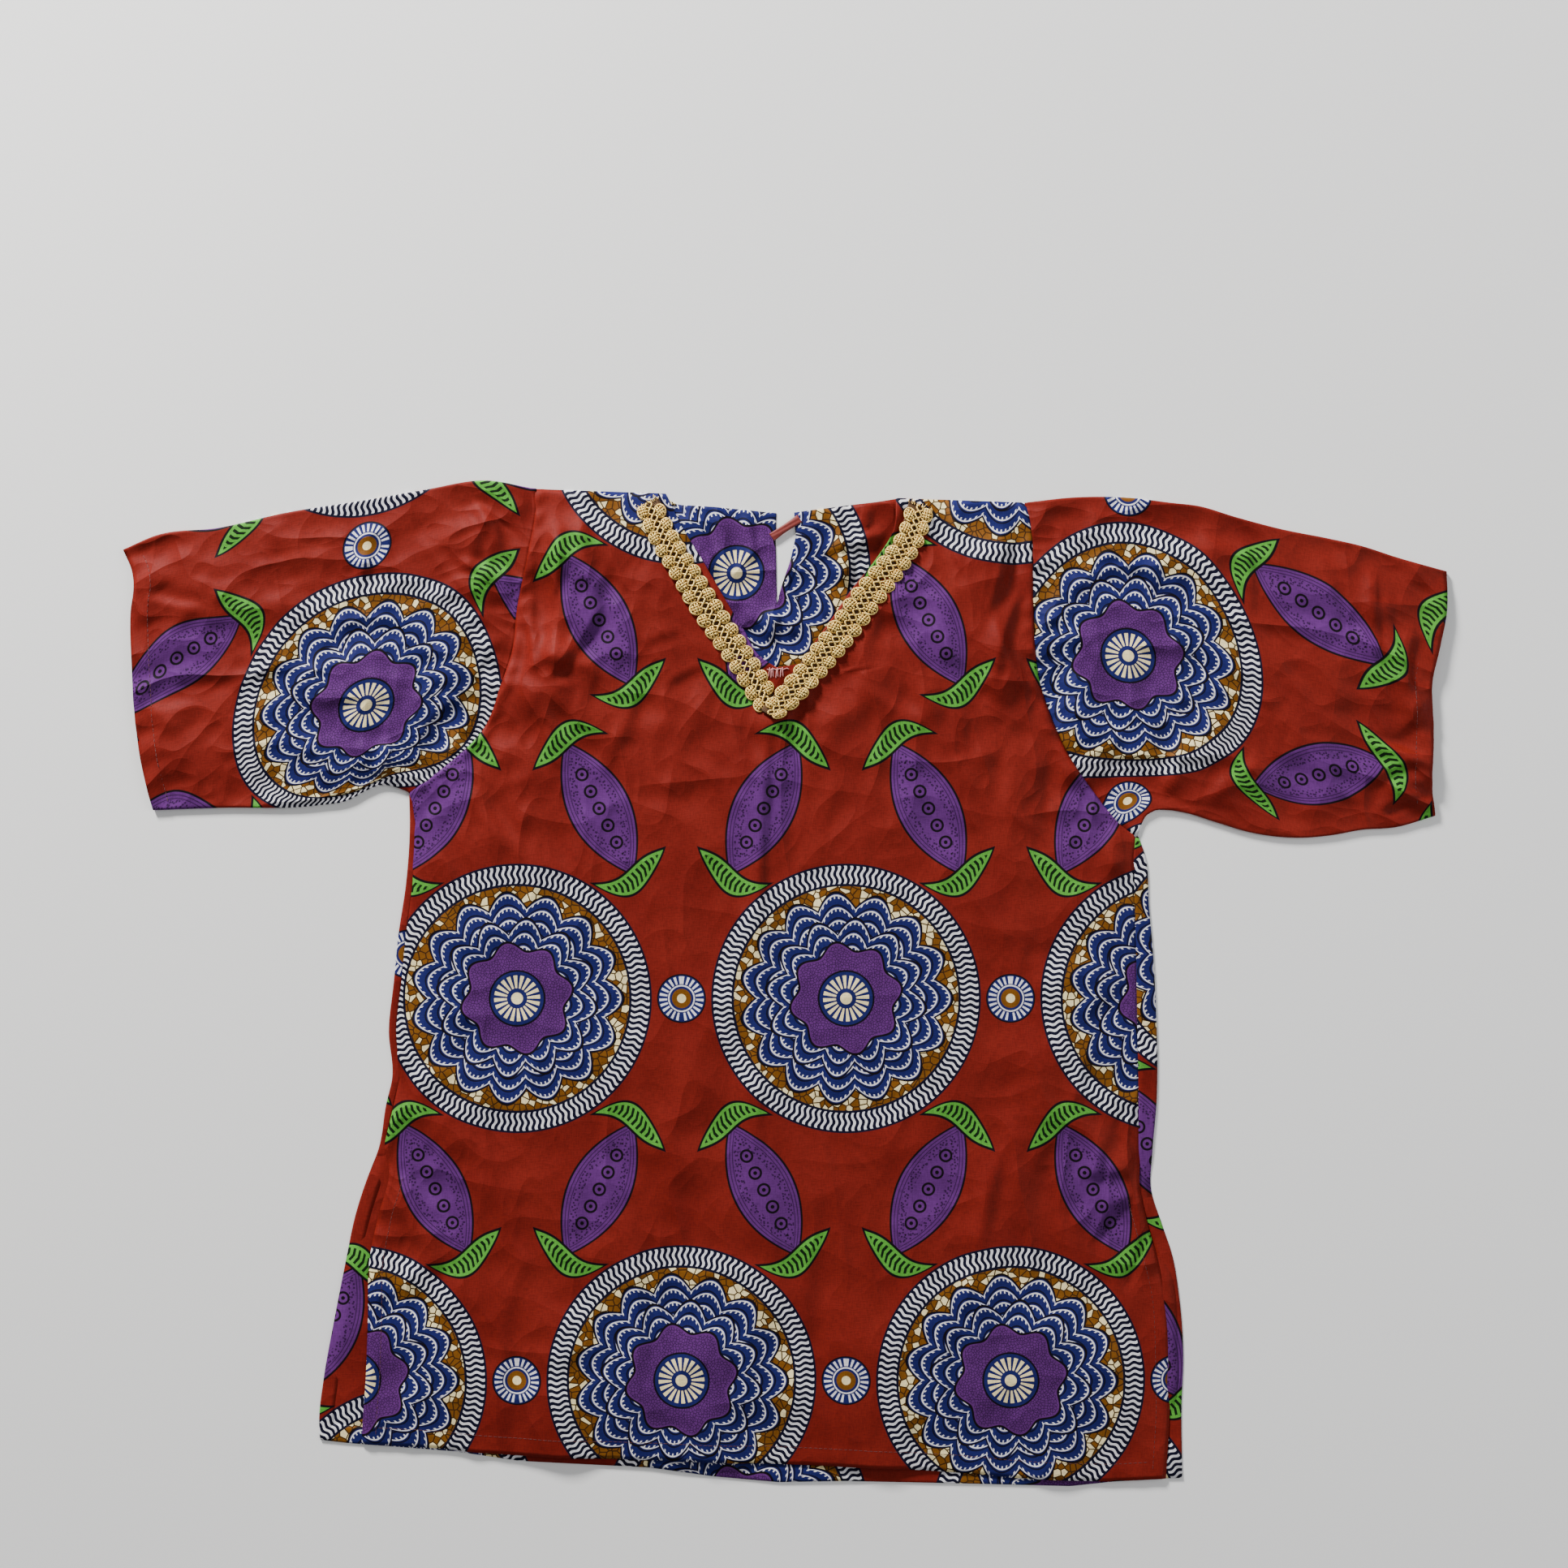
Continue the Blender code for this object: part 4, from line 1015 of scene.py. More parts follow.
def bumped(tree, height, distance, strength, under=None):
    """The surface's direction, tilted by a height, over another bump where one is given."""
    node = tree.nodes.new("ShaderNodeBump")
    node.inputs["Strength"].default_value = strength
    node.inputs["Distance"].default_value = distance
    tree.links.new(height.socket, node.inputs["Height"])
    if under is not None:
        tree.links.new(under, node.inputs["Normal"])
    return node.outputs[0]


# %% Inks
def ink(red, green, blue):
    """A colour given as on a screen, 0 to 255, turned into the linear values that nodes use."""
    values = np.array([red, green, blue]) / 255.0
    linear = np.where(values < 0.04045, values / 12.92, ((values + 0.055) / 1.055) ** 2.4)
    return (*linear.tolist(), 1.0)


BRICK_RED = ink(122, 31, 22)
DEEP_RED = ink(100, 17, 11)
PURPLE = ink(92, 42, 112)
DEEP_PURPLE = ink(52, 22, 66)
NAVY = ink(28, 32, 92)
DEEP_NAVY = ink(14, 14, 38)
PALE = ink(236, 234, 240)
CREAM = ink(255, 236, 178)
OCHRE = ink(120, 74, 22)
DARK_OCHRE = ink(58, 34, 10)
LEAF_GREEN = ink(84, 160, 58)
DARK_GREEN = ink(14, 32, 14)
OUTLINE = ink(16, 10, 16)

# %% Layout of the repeat
REPEAT_X = 190.5         # a sixth of 45 inch cloth
REPEAT_Y = 550.0
ROW_GAP = 221.0          # from one row of medallions to the staggered row below it
MEDALLION = 78.0         # outer radius
MEDALLION_ROOM = 6.0     # free cloth above and below a row of medallions
PANEL_SPACING = REPEAT_X / 2.0
UPPER_PANELS = 110.0     # distances of the two rows of panels from the row of medallions
LOWER_PANELS = -110.5
NEXT_PANELS = 219.0
LAST_RISE = 164.5        # level above which the next panels are the nearest
PANEL_COS, PANEL_SIN = 0.454, 0.891      # a panel leans by 63 degrees


def medallion_place(x, y):
    """x and y measured from the nearest medallion's centre, over two staggered rows."""
    y1 = y.wrap(-REPEAT_Y / 2.0, REPEAT_Y / 2.0)
    x1 = x.wrap(-REPEAT_X / 2.0, REPEAT_X / 2.0)
    y2 = (y + ROW_GAP).wrap(-REPEAT_Y / 2.0, REPEAT_Y / 2.0)
    x2 = (x + REPEAT_X / 2.0).wrap(-REPEAT_X / 2.0, REPEAT_X / 2.0)
    first = abs(y1).math("LESS_THAN", MEDALLION + MEDALLION_ROOM)
    return x2 + (x1 - x2) * first, y2 + (y1 - y2) * first


def panel_place(x, y):
    """x and y from the nearest panel's centre, turned along the panel, mirrored in every other."""
    rise = y.wrap(-ROW_GAP, REPEAT_Y - ROW_GAP)
    upper = rise.above(0.0) * (UPPER_PANELS - LOWER_PANELS)
    row = upper + rise.above(LAST_RISE) * (NEXT_PANELS - UPPER_PANELS) + LOWER_PANELS
    down = rise - row
    across = (x - PANEL_SPACING / 2.0).wrap(-PANEL_SPACING / 2.0, PANEL_SPACING / 2.0)
    side = x.wrap(-REPEAT_X / 2.0, REPEAT_X / 2.0).above(0.0) * 2.0 - 1.0
    lower = rise.above(0.0) * -2.0 + 1.0
    across = across * side * lower
    along = across * PANEL_COS + down * PANEL_SIN
    return along, across * PANEL_SIN - down * PANEL_COS


# %% Medallions
def scales(tree, vector, scale, feature):
    """A Voronoi texture over the cloth."""
    node = tree.nodes.new("ShaderNodeTexVoronoi")
    node.voronoi_dimensions = "2D"
    node.feature = feature
    node.inputs["Scale"].default_value = scale
    tree.links.new(vector, node.inputs["Vector"])
    return node


CRACKLE, ROSETTE_SCALES, SPECKS = 260.0, 620.0, 520.0    # cells to the metre
CORE = 65.4              # radius inside the hatched rim
# Columns: number of petals, outer radius, how pointed they are, turn in halves of a petal
PETAL_RINGS = ((15.0, 61.0, 0.075, 0.0), (12.0, 46.0, 0.10, 0.5))
FEATHER = 7.4            # distance between two feathered edges of a petal


def draw_petals(turn, r, colour):
    """Feathered petals: scalloped edges, each one further in, with fine ticks along them."""
    for count, tip, drop, start in PETAL_RINGS:
        step = pi / count
        cell = (turn + start * step).wrap(-step, step)
        s = cell * r
        depth = s * s * (-drop) - r + tip
        body = depth.above(0.0)
        colour = paint(OUTLINE, colour, depth.line(-0.5, 1.8) * r.below(tip + 2.0))
        colour = paint(NAVY, colour, body)
        feather = depth.wrap(0.0, FEATHER)
        colour = paint(PALE, colour, feather.line(1.1, 0.85) * body)
        ticks = (cell * (r * 2.6)).sin().above(0.55) * feather.line(2.2, 1.5)
        colour = paint(PALE, colour, ticks * body)
        colour = paint(DEEP_NAVY, colour, feather.line(6.8, 1.0) * body)
    return colour


def draw_medallion(tree, vector, x, y, colour):
    """Sunburst from rim to centre: hatched rim, crackled ochre, two rings of petals, a rosette."""
    r = length_of(x, y)
    turn = y.math("ARCTAN2", x)
    cells = scales(tree, vector, CRACKLE, "F1")
    patch = Field(tree, tree.nodes.new("ShaderNodeSeparateColor").outputs[0])
    tree.links.new(cells.outputs["Color"], patch.socket.node.inputs[0])
    crack = Field(tree, scales(tree, vector, CRACKLE, "DISTANCE_TO_EDGE").outputs["Distance"])
    colour = paint(DEEP_NAVY, colour, r.below(MEDALLION, 0.4))
    hatch = ((turn * 132.0) + (r * 0.85).sin() * 1.2).sin().above(0.16)
    colour = paint(PALE, colour, hatch * r.line(71.6, 10.4))
    ground = paint(CREAM, OCHRE, patch.above(0.62))
    ground = paint(DARK_OCHRE, ground, crack.below(0.09, 0.05))
    colour = paint(ground, colour, r.below(CORE, 0.3))
    colour = paint(DEEP_NAVY, colour, r.line(CORE + 0.2, 1.2))
    colour = draw_petals(turn, r, colour)
    rosette = r - (turn * 8.0).sin() * 2.6
    colour = paint(OUTLINE, colour, rosette.below(31.0))
    colour = paint(PURPLE, colour, rosette.below(29.6))
    edges = scales(tree, vector, ROSETTE_SCALES, "DISTANCE_TO_EDGE").outputs["Distance"]
    colour = paint(DEEP_PURPLE, colour, Field(tree, edges).below(0.1, 0.08) * rosette.below(28.6))
    for colour_of_ring, radius in ((OUTLINE, 16.4), (NAVY, 15.4)):
        colour = paint(colour_of_ring, colour, r.below(radius))
    rays = (turn * 20.0).sin().above(-0.2) * r.line(9.6, 7.4)
    colour = paint(CREAM, colour, rays)
    return paint(CREAM, colour, r.below(3.4))


def draw_disc(x, y, colour):
    """A small rayed disc halfway between two medallions of a row."""
    r = length_of(x, y)
    turn = y.math("ARCTAN2", x)
    colour = paint(OUTLINE, colour, r.below(14.2))
    colour = paint(NAVY, colour, r.below(13.4))
    colour = paint(PALE, colour, (turn * 24.0).sin().above(0.1) * r.line(10.6, 4.4))
    colour = paint(PALE, colour, r.line(7.4, 0.8))
    colour = paint(OCHRE, colour, r.below(5.6))
    return paint(CREAM, colour, r.below(2.6))


# %% Panels and leaves
PANEL_HALF_LENGTH = 43.0
PANEL_HALF_WIDTH = 17.5
LEAF_HALF_LENGTH = 23.0
LEAF_HALF_WIDTH = 6.6


def draw_panel(tree, vector, along, across, colour):
    """A pointed purple panel with ruled edges, specks and a chain of rings, and two green leaves."""
    pointed = along / PANEL_HALF_LENGTH
    f = abs(across) / PANEL_HALF_WIDTH + pointed * pointed
    colour = paint(OUTLINE, colour, f.below(1.05, 0.02))
    colour = paint(PURPLE, colour, f.below(0.98, 0.02))
    for rule in (0.88, 0.77):
        colour = paint(DEEP_PURPLE, colour, f.line(rule, 0.03, 0.02))
    speck = Field(tree, scales(tree, vector, SPECKS, "F1").outputs["Distance"])
    colour = paint(DEEP_PURPLE, colour, speck.below(0.3, 0.1) * f.line(0.6, 0.26, 0.02))
    ring = length_of(along.wrap(-5.5, 5.5), across)
    chain = f.below(0.5, 0.02)
    colour = paint(OUTLINE, colour, ring.line(3.3, 1.3) * chain)
    colour = paint(OUTLINE, colour, ring.below(1.1) * chain)
    side = along.above(0.0) * 2.0 - 1.0
    q = across * side
    r = abs(along) - (PANEL_HALF_LENGTH - 1.0)
    share = q / LEAF_HALF_LENGTH
    bow = share * share
    off = abs(r + bow * 8.5 - 4.0 + (q * 0.14).sin() * 2.2)
    edge = off / LEAF_HALF_WIDTH + bow
    colour = paint(OUTLINE, colour, edge.below(1.14, 0.04))
    colour = paint(LEAF_GREEN, colour, edge.below(0.92, 0.04))
    ribs = (q * 1.9 + off * 0.5).sin().above(0.1) * edge.below(0.66, 0.04)
    return paint(DARK_GREEN, colour, ribs)


# %% [markdown]
# ## Cotton
# The cotton is a plain weave, nearly matt. The dyes are slightly uneven, the threads have thick
# and thin places, and the weave itself is a tiny bump over the fine creases. The same print group
# serves the front, the back and the sleeves.

# %% Print group
def print_group():
    """A node group that takes flat cloth coordinates in metres and gives the print's colour."""
    tree = bpy.data.node_groups.new("wax print", "ShaderNodeTree")
    tree.interface.new_socket("Cloth", in_out="INPUT", socket_type="NodeSocketVector")
    tree.interface.new_socket("Color", in_out="OUTPUT", socket_type="NodeSocketColor")
    source = tree.nodes.new("NodeGroupInput").outputs[0]
    x, y = (number * (1.0 / MM) for number in two_numbers(tree, source))
    colour = paint(DEEP_RED, BRICK_RED, (noise(tree, source, 26.0, 4.0) - 0.35) * 1.4)
    along, across = panel_place(x, y)
    colour = draw_panel(tree, source, along, across, colour)
    mx, my = medallion_place(x, y)
    colour = draw_medallion(tree, source, mx, my, colour)
    colour = draw_disc(abs(mx) - REPEAT_X / 2.0, my, colour)
    end = tree.nodes.new("NodeGroupOutput")
    tree.links.new(colour, end.inputs[0])
    print("print group has", len(tree.nodes), "nodes")
    return tree


WAX_PRINT = print_group()


# %% Cotton material
THREAD_SPACING = 0.00062                 # in metres
STREAKS = (240.0, 1500.0)                # thick and thin places to the metre, along and across
# Columns: lumps of noise to the metre along x and along y, turn, depth in millimetres
FINE_CREASES = ((34.0, 17.0, 0.5, 9.5), (17.0, 30.0, 0.9, 7.0), (64.0, 42.0, 0.2, 2.6))


def streaks(tree, place, per_metre):
    """Thick and thin threads: noise stretched along one way of the cloth."""
    stretch = tree.nodes.new("ShaderNodeVectorMath")
    stretch.operation = "MULTIPLY"
    stretch.inputs[1].default_value = (*per_metre, 0.0)
    tree.links.new(place, stretch.inputs[0])
    return noise(tree, stretch.outputs[0], 1.0, 2.0, "2D")


def fine_creases(tree, place):
    """Crests where stretched noises cross their middle: minus their distance from it."""
    creased = tree.nodes.new("ShaderNodeAttribute")
    creased.attribute_name = "creased"
    height = 0.0
    for across, along, turn, depth in FINE_CREASES:
        slant = tree.nodes.new("ShaderNodeMapping")
        slant.inputs["Rotation"].default_value = (0.0, 0.0, turn)
        slant.inputs["Scale"].default_value = (across, along, 1.0)
        tree.links.new(place, slant.inputs["Vector"])
        random = noise(tree, slant.outputs[0], 1.0, 0.0, "2D", distortion=0.3)
        height = abs(random - 0.5) * -depth + height
    return bumped(tree, height * Field(tree, creased.outputs["Fac"]), MM, 1.0)


def cotton(name, roughness):
    """Printed cotton: the print, uneven threads, and a plain weave and fine creases in the bump."""
    material, tree, shader = new_material(name)
    shader.inputs["Specular IOR Level"].default_value = 0.09
    place = piece_map(tree, "cloth")
    printed = tree.nodes.new("ShaderNodeGroup")
    printed.node_tree = WAX_PRINT
    tree.links.new(place, printed.inputs[0])
    x, y = two_numbers(tree, place)
    thread = 2.0 * pi / THREAD_SPACING
    weave = (x * thread).sin() * (y * thread).sin()
    grain = noise(tree, place, 900.0, 3.0)
    threads = (streaks(tree, place, STREAKS) + streaks(tree, place, STREAKS[::-1])) * 0.5
    dark = (threads - 0.42) * 0.9 + 0.03
    tree.links.new(paint((0.0, 0.0, 0.0, 1.0), printed.outputs[0], dark), shader.inputs["Base Color"])
    tree.links.new((grain * 0.16 + (roughness - 0.08)).socket, shader.inputs["Roughness"])
    surface = bumped(tree, weave * 0.3 + grain * 0.5 + threads * 2.0, 0.00012, 0.3,
                     fine_creases(tree, place))
    tree.links.new(surface, shader.inputs["Normal"])
    return material


printed_cotton = cotton("printed cotton", 0.6)
for piece in (front_cloth, back_cloth, back_turned_edges, sleeve_left_cloth, sleeve_right_cloth):
    piece.data.materials.append(printed_cotton)

# %% [markdown]
# ## The gold braid
# Gimp braid is made of cords wound with metallic thread. Two rows of knots run along it, each one
# woven from six short bars inside an open loop, and two cords cross between the rows and leave
# small holes. It goes on in two arms, and the right arm lies over the left at the point of the V.
# Every cord is a tube round a path, and all paths of one kind are worked out as one array.

# %% The braid's two arms
# Columns: length down from the shoulder, inner x, inner y, outer x, outer y
LEFT_ARM = (
    (0.0, -72.4, 283.0, -87.0, 275.0),
    (23.0, -62.0, 261.3, -77.0, 253.0),
    (40.0, -53.1, 247.2, -68.3, 238.5),
    (69.0, -37.6, 222.8, -54.0, 213.5),
    (91.0, -25.4, 204.0, -41.0, 194.8),
    (110.0, -15.0, 188.0, -30.0, 178.8),
    (124.0, -8.0, 176.0, -21.8, 165.0),
    (135.0, -3.0, 167.0, -15.5, 155.5),
)
RIGHT_ARM = (
    (0.0, 71.0, 281.0, 86.8, 273.6),
    (20.0, 64.9, 261.3, 80.2, 254.0),
    (40.0, 53.1, 245.3, 69.8, 237.0),
    (62.0, 39.0, 228.4, 56.5, 219.0),
    (83.0, 26.8, 211.0, 43.6, 201.8),
    (103.0, 14.6, 195.0, 31.0, 186.3),
    (120.0, 4.2, 181.6, 19.8, 173.5),
    (131.0, -3.5, 172.5, 12.0, 165.0),
    (141.0, -10.0, 164.3, 3.5, 157.0),
    (149.0, -15.2, 159.0, -4.0, 152.3),
)
# Columns: arm, where it starts to rise over the other arm, by how much
ARMS = ((LEFT_ARM, 200.0, 0.0), (RIGHT_ARM, 116.0, 1.7))
BRAID_HALF = 9.0         # half of its width, which the two edges stand for
SCALLOP_PITCH = 7.83
CORD = 0.58              # radius of a wound cord
TURN = 1.45              # length of cord between two swellings
BRAID_SEAT = 0.7         # height of the ground's middle over the underside of the front
CORD_SEAT = 0.6          # and of the lowest cords' middle over that


def arm_place(arm, s, w, z):
    """Point at length s, w outwards from the middle line and z above the front's cloth."""
    table, climb, rise = arm
    length, inner_x, inner_y, outer_x, outer_y = columns(table)
    share = (w + BRAID_HALF) / (2.0 * BRAID_HALF)
    x = follow(s, length, inner_x) * (1.0 - share) + follow(s, length, outer_x) * share
    y = follow(s, length, inner_y) * (1.0 - share) + follow(s, length, outer_y) * share
    over = rise * smoothstep((s - climb) / 12.0)
    return np.stack([x, y, front_base(x, y) + BRAID_SEAT + z + over], axis=-1)


def tubes(paths, radius, sides):
    """Rings of points round each path, in the plane across it, with a swelling at each turn."""
    along = np.gradient(paths, axis=1)
    length = np.cumsum(np.linalg.norm(along, axis=2), axis=1)
    along /= np.linalg.norm(along, axis=2, keepdims=True)
    sideways = np.cross(along, np.array([0.0, 0.0, 1.0]))
    sideways /= np.linalg.norm(sideways, axis=2, keepdims=True)
    upward = np.cross(sideways, along)
    angle = np.arange(sides) * 2.0 * pi / sides
    ring = np.cos(angle)[:, None] * sideways[:, :, None] + np.sin(angle)[:, None] * upward[:, :, None]
    swell = 1.0 + 0.14 * np.sin(2.0 * pi * length / TURN)
    return paths[:, :, None] + radius * swell[:, :, None, None] * ring


def tube_mesh(name, groups, sides=6):
    """Joins groups of tubes into one mesh, with closed ends and a map along and round each cord."""
    points, faces, caps, maps, start = [], [], [], [], 0
    for paths, radius in groups:
        count, steps, _ = paths.shape
        base = start + np.arange(count)[:, None, None] * steps * sides
        i = np.arange(steps - 1)[None, :, None] * sides
        j = np.arange(sides)[None, None, :]
        k = (j + 1) % sides
        squares = np.stack([base + i + j, base + i + k, base + i + sides + k, base + i + sides + j], -1)
        faces.append(squares.reshape(-1, 4))
        first, last = base[:, 0], base[:, 0] + (steps - 1) * sides
        caps.extend((first + np.arange(sides)[::-1]).tolist() + (last + np.arange(sides)).tolist())
        pieces = np.linalg.norm(np.diff(paths, axis=1, prepend=paths[:, :1]), axis=2)
        length = np.cumsum(pieces, axis=1)[:, :, None]
        around = np.broadcast_to(np.arange(sides) / sides, (count, steps, sides))
        maps.append(np.stack([np.broadcast_to(length, around.shape), around], -1).reshape(-1, 2))
        points.append(tubes(paths, radius, sides).reshape(-1, 3))
        start += count * steps * sides
    points, maps = np.vstack(points) * MM, np.vstack(maps)
    mesh = bpy.data.meshes.new(name)
    mesh.from_pydata(points.tolist(), [], np.vstack(faces).tolist() + caps)
    corner = np.empty(len(mesh.loops), np.int32)
    mesh.loops.foreach_get("vertex_index", corner)
    mesh.uv_layers.new(name="cord").data.foreach_set("uv", maps[corner].ravel())
    mesh.shade_smooth()
    item = bpy.data.objects.new(name, mesh)
    bpy.context.scene.collection.objects.link(item)
    print(name, len(mesh.polygons), "faces")
    return item


# %% Knots, loops and chain
KNOT_MIDDLE = 5.0        # distance of a knot's middle from the braid's middle line
KNOT_HALF = 2.9          # half of a knot's size
BAR_SPACING = 1.5        # between the bars that a knot is woven from


def knot_loops(arm, centres, side):
    """An open loop round each knot: s swings by a sine and w by a cosine, open to the middle."""
    swing = np.linspace(-2.35, 2.35, 34)[None, :]
    centre = centres[:, None]
    s = centre + (SCALLOP_PITCH / 2.0 - CORD * 0.7) * np.sin(swing) + 0.25 * np.sin(centre * 3.7)
    w = side * (KNOT_MIDDLE + (BRAID_HALF - KNOT_MIDDLE - CORD) * np.cos(swing))
    return arm_place(arm, s, w, 0.5 + 0.2 * np.cos(3.0 * swing + centre))


def knot_bars(arm, centres, side, offset, lengthwise):
    """One bar of each knot, domed, and over and under the bars that cross it in turn."""
    t = np.linspace(-1.0, 1.0, 14)[None, :]
    centre = centres[:, None]
    reach = KNOT_HALF * (1.0 - 0.12 * (offset / BAR_SPACING) ** 2) * t
    tilt = 0.22 * np.sin(centre * 2.3 + side)
    along, out = (reach, offset - tilt * reach) if lengthwise else (offset + tilt * reach, reach)
    phase = pi * (1.0 if lengthwise else 0.0) + pi * offset / BAR_SPACING
    weave = 0.3 * np.cos(pi * KNOT_HALF * t / BAR_SPACING + phase)
    dome = 0.95 * (1.0 - 0.5 * t**2 - 0.3 * (offset / BAR_SPACING) ** 2)
    return arm_place(arm, centre + along, side * (KNOT_MIDDLE + out), CORD_SEAT + dome + weave)


def chain_cord(arm, ends, reach, phase, lift):
    """One cord along an arm that swings across the middle line once for each scallop."""
    s = np.linspace(ends[0], ends[1], int((ends[1] - ends[0]) / 0.5))[None, :]
    turn = 2.0 * pi * s / SCALLOP_PITCH + phase
    return arm_place(arm, s, reach * np.sin(turn), lift + 0.35 * np.cos(turn + 0.6))


def frayed_ends(arm, count, seed):
    """Loose thread ends that stick out past the shoulder end of an arm."""
    chance = np.random.default_rng(seed)
    w = np.linspace(-7.5, 7.5, count)[:, None] + chance.uniform(-0.5, 0.5, (count, 1))
    reach = chance.uniform(1.2, 3.6, (count, 1))
    t = np.linspace(0.0, 1.0, 8)[None, :]
    start = arm_place(arm, np.full_like(w, 1.5) + 0.0 * t, w + 0.0 * t, CORD_SEAT + 0.0 * t)
    table = np.array(arm[0])
    away = table[0, 1:3] - table[1, 1:3]
    away = away / np.linalg.norm(away)
    bend = chance.uniform(-0.5, 0.5, (count, 1)) * t**2
    start[..., 0] += (away[0] * t - away[1] * bend) * reach
    start[..., 1] += (away[1] * t + away[0] * bend) * reach
    return start


# %% Make the braid
def make_braid():
    groups = []
    for arm in ARMS:
        length = arm[0][-1][0]
        count = round(length / SCALLOP_PITCH)
        centres = (np.arange(count) + 0.5) * length / count
        inner = centres[:-1] + length / count / 2.0
        for side, places in ((1.0, centres), (-1.0, inner)):
            groups.append((knot_loops(arm, places, side), CORD))
            for offset in (-BAR_SPACING, 0.0, BAR_SPACING):
                for lengthwise in (True, False):
                    bars = knot_bars(arm, places, side, offset, lengthwise)
                    groups.append((bars, CORD * 0.9))
        for phase in (0.0, pi):
            groups.append((chain_cord(arm, (0.4, length - 0.4), 2.1, phase, 1.05), CORD * 0.95))
        groups.append((frayed_ends(arm, 12, count), 0.2))
    return tube_mesh("braid_cords", groups)


braid_cords = make_braid()


# %% Woven ground of the braid, in painted shade
def arm_ground(arm):
    """The web under one arm's cords: a ring across it at every step, with scalloped edges."""
    length = arm[0][-1][0]
    count = round(length / SCALLOP_PITCH)
    s = np.linspace(0.0, length, count * 8 + 1)[:, None]
    puff = np.abs(np.sin(pi * s / length * count)) ** 0.6
    across = np.array([-1.0, -0.94, -0.6, -0.2, 0.2, 0.6, 0.94, 1.0])[None, :]
    w = across * (BRAID_HALF - 2.6 + 1.3 * puff)
    s = np.broadcast_to(s, w.shape)
    top = arm_place(arm, s, w, 0.3 * (1.0 - across**6) - 0.1)
    low = arm_place(arm, s, w, np.full(w.shape, -0.2))
    ring = np.concatenate([top, low[:, ::-1], top[:, :1]], axis=1)
    flat = np.dstack([np.broadcast_to(s[:, :1], ring.shape[:2]), np.zeros(ring.shape[:2])])
    return ring, flat, True


def braid_ground_and_shade():
    """Both arms' webs, with their ends closed. Their near-black brown is painted shade in the braid's
    holes.
    """
    item = cloth_object("braid_ground_and_shade", [arm_ground(arm) for arm in ARMS])
    work = bmesh.new()
    work.from_mesh(item.data)
    bmesh.ops.holes_fill(work, edges=[edge for edge in work.edges if edge.is_boundary])
    bmesh.ops.recalc_face_normals(work, faces=work.faces)
    work.to_mesh(item.data)
    work.free()
    return item


braid_web_shaded = braid_ground_and_shade()

# %% [markdown]
# ## Gold thread
# Metallic gimp is a strip of gold film wound round a core, so it looks partly like metal and
# partly like thread. Its bump is a fine slanting ridge that follows each cord's own map. A little
# noise makes some turns duller, as handling does. Painted shade darkens the gaps between a cord's
# swellings and the sides of each cord that face down.

# %% Gold materials
# Browns of painted shade for a wound cord.
GAP_SHADE_BROWN = (0.1, 0.045, 0.012, 1.0)     # between two swellings of a cord
UNDERSIDE_SHADE_BROWN = (0.5, 0.2, 0.025, 1.0)       # on the sides of a cord that face down


def gold(name, colour, dull_and_shade, roughness, wound):
    """Metallic thread with duller patches; a wound cord has slanting ridges and painted shade in its gaps
    and down-facing sides.
    """
    material, tree, shader = new_material(name)
    shader.inputs["Metallic"].default_value = 0.4
    x, y = two_numbers(tree, piece_map(tree, "cord" if wound else "cloth"))
    uneven = noise(tree, place_in_space(tree), 420.0, 3.0)
    ridge = (x * 11.0 + y * (2.0 * pi)).sin() if wound else (x * 8000.0).sin()
    worn_and_shaded = paint(dull_and_shade, colour, (uneven - 0.42) * 2.2)
    if wound:
        # Painted shade in the valleys between the cord's swellings.
        gap_shade = (x * (2.0 * pi / TURN)).sin().below(-0.55, 0.5)
        worn_and_shaded = paint(GAP_SHADE_BROWN, worn_and_shaded, gap_shade * 0.5)
        # Painted shade on the sides of the cord that face down.
        underside_shade = (y * (2.0 * pi)).sin().below(0.55, 0.5)
        worn_and_shaded = paint(UNDERSIDE_SHADE_BROWN, worn_and_shaded, underside_shade * 0.6)
    tree.links.new(worn_and_shaded, shader.inputs["Base Color"])
    tree.links.new((uneven * 0.25 + (roughness - 0.12)).socket, shader.inputs["Roughness"])
    tree.links.new(bumped(tree, ridge * 0.5 + uneven, 0.00015, 0.6), shader.inputs["Normal"])
    return material


BRIGHT_GOLD, DULL_GOLD = (1.0, 0.76, 0.24, 1.0), (0.95, 0.52, 0.08, 1.0)
# The web stands for the braid's woven ground; its near-black browns are painted shade in the holes
# between the cords.
WEB_SHADE_BROWN, WEB_SHADE_DARK = (0.09, 0.042, 0.012, 1.0), (0.035, 0.016, 0.006, 1.0)
braid_cords.data.materials.append(gold("gold cord", BRIGHT_GOLD, DULL_GOLD, 0.33, True))
braid_web_shaded.data.materials.append(gold("braid web in painted shade", WEB_SHADE_BROWN, WEB_SHADE_DARK, 0.6, False))

# %% [markdown]
# ## The tab of the back slit
# A short loop of red cloth closes the slit near the neck. It is a narrow folded strip that lies
# across the opening in a low arch, with its ends caught under the hem.

# %% Make the tab
TAB_ENDS = ((-7.6, 258.6), (8.6, 269.6))
TAB_WIDTH = 5.0


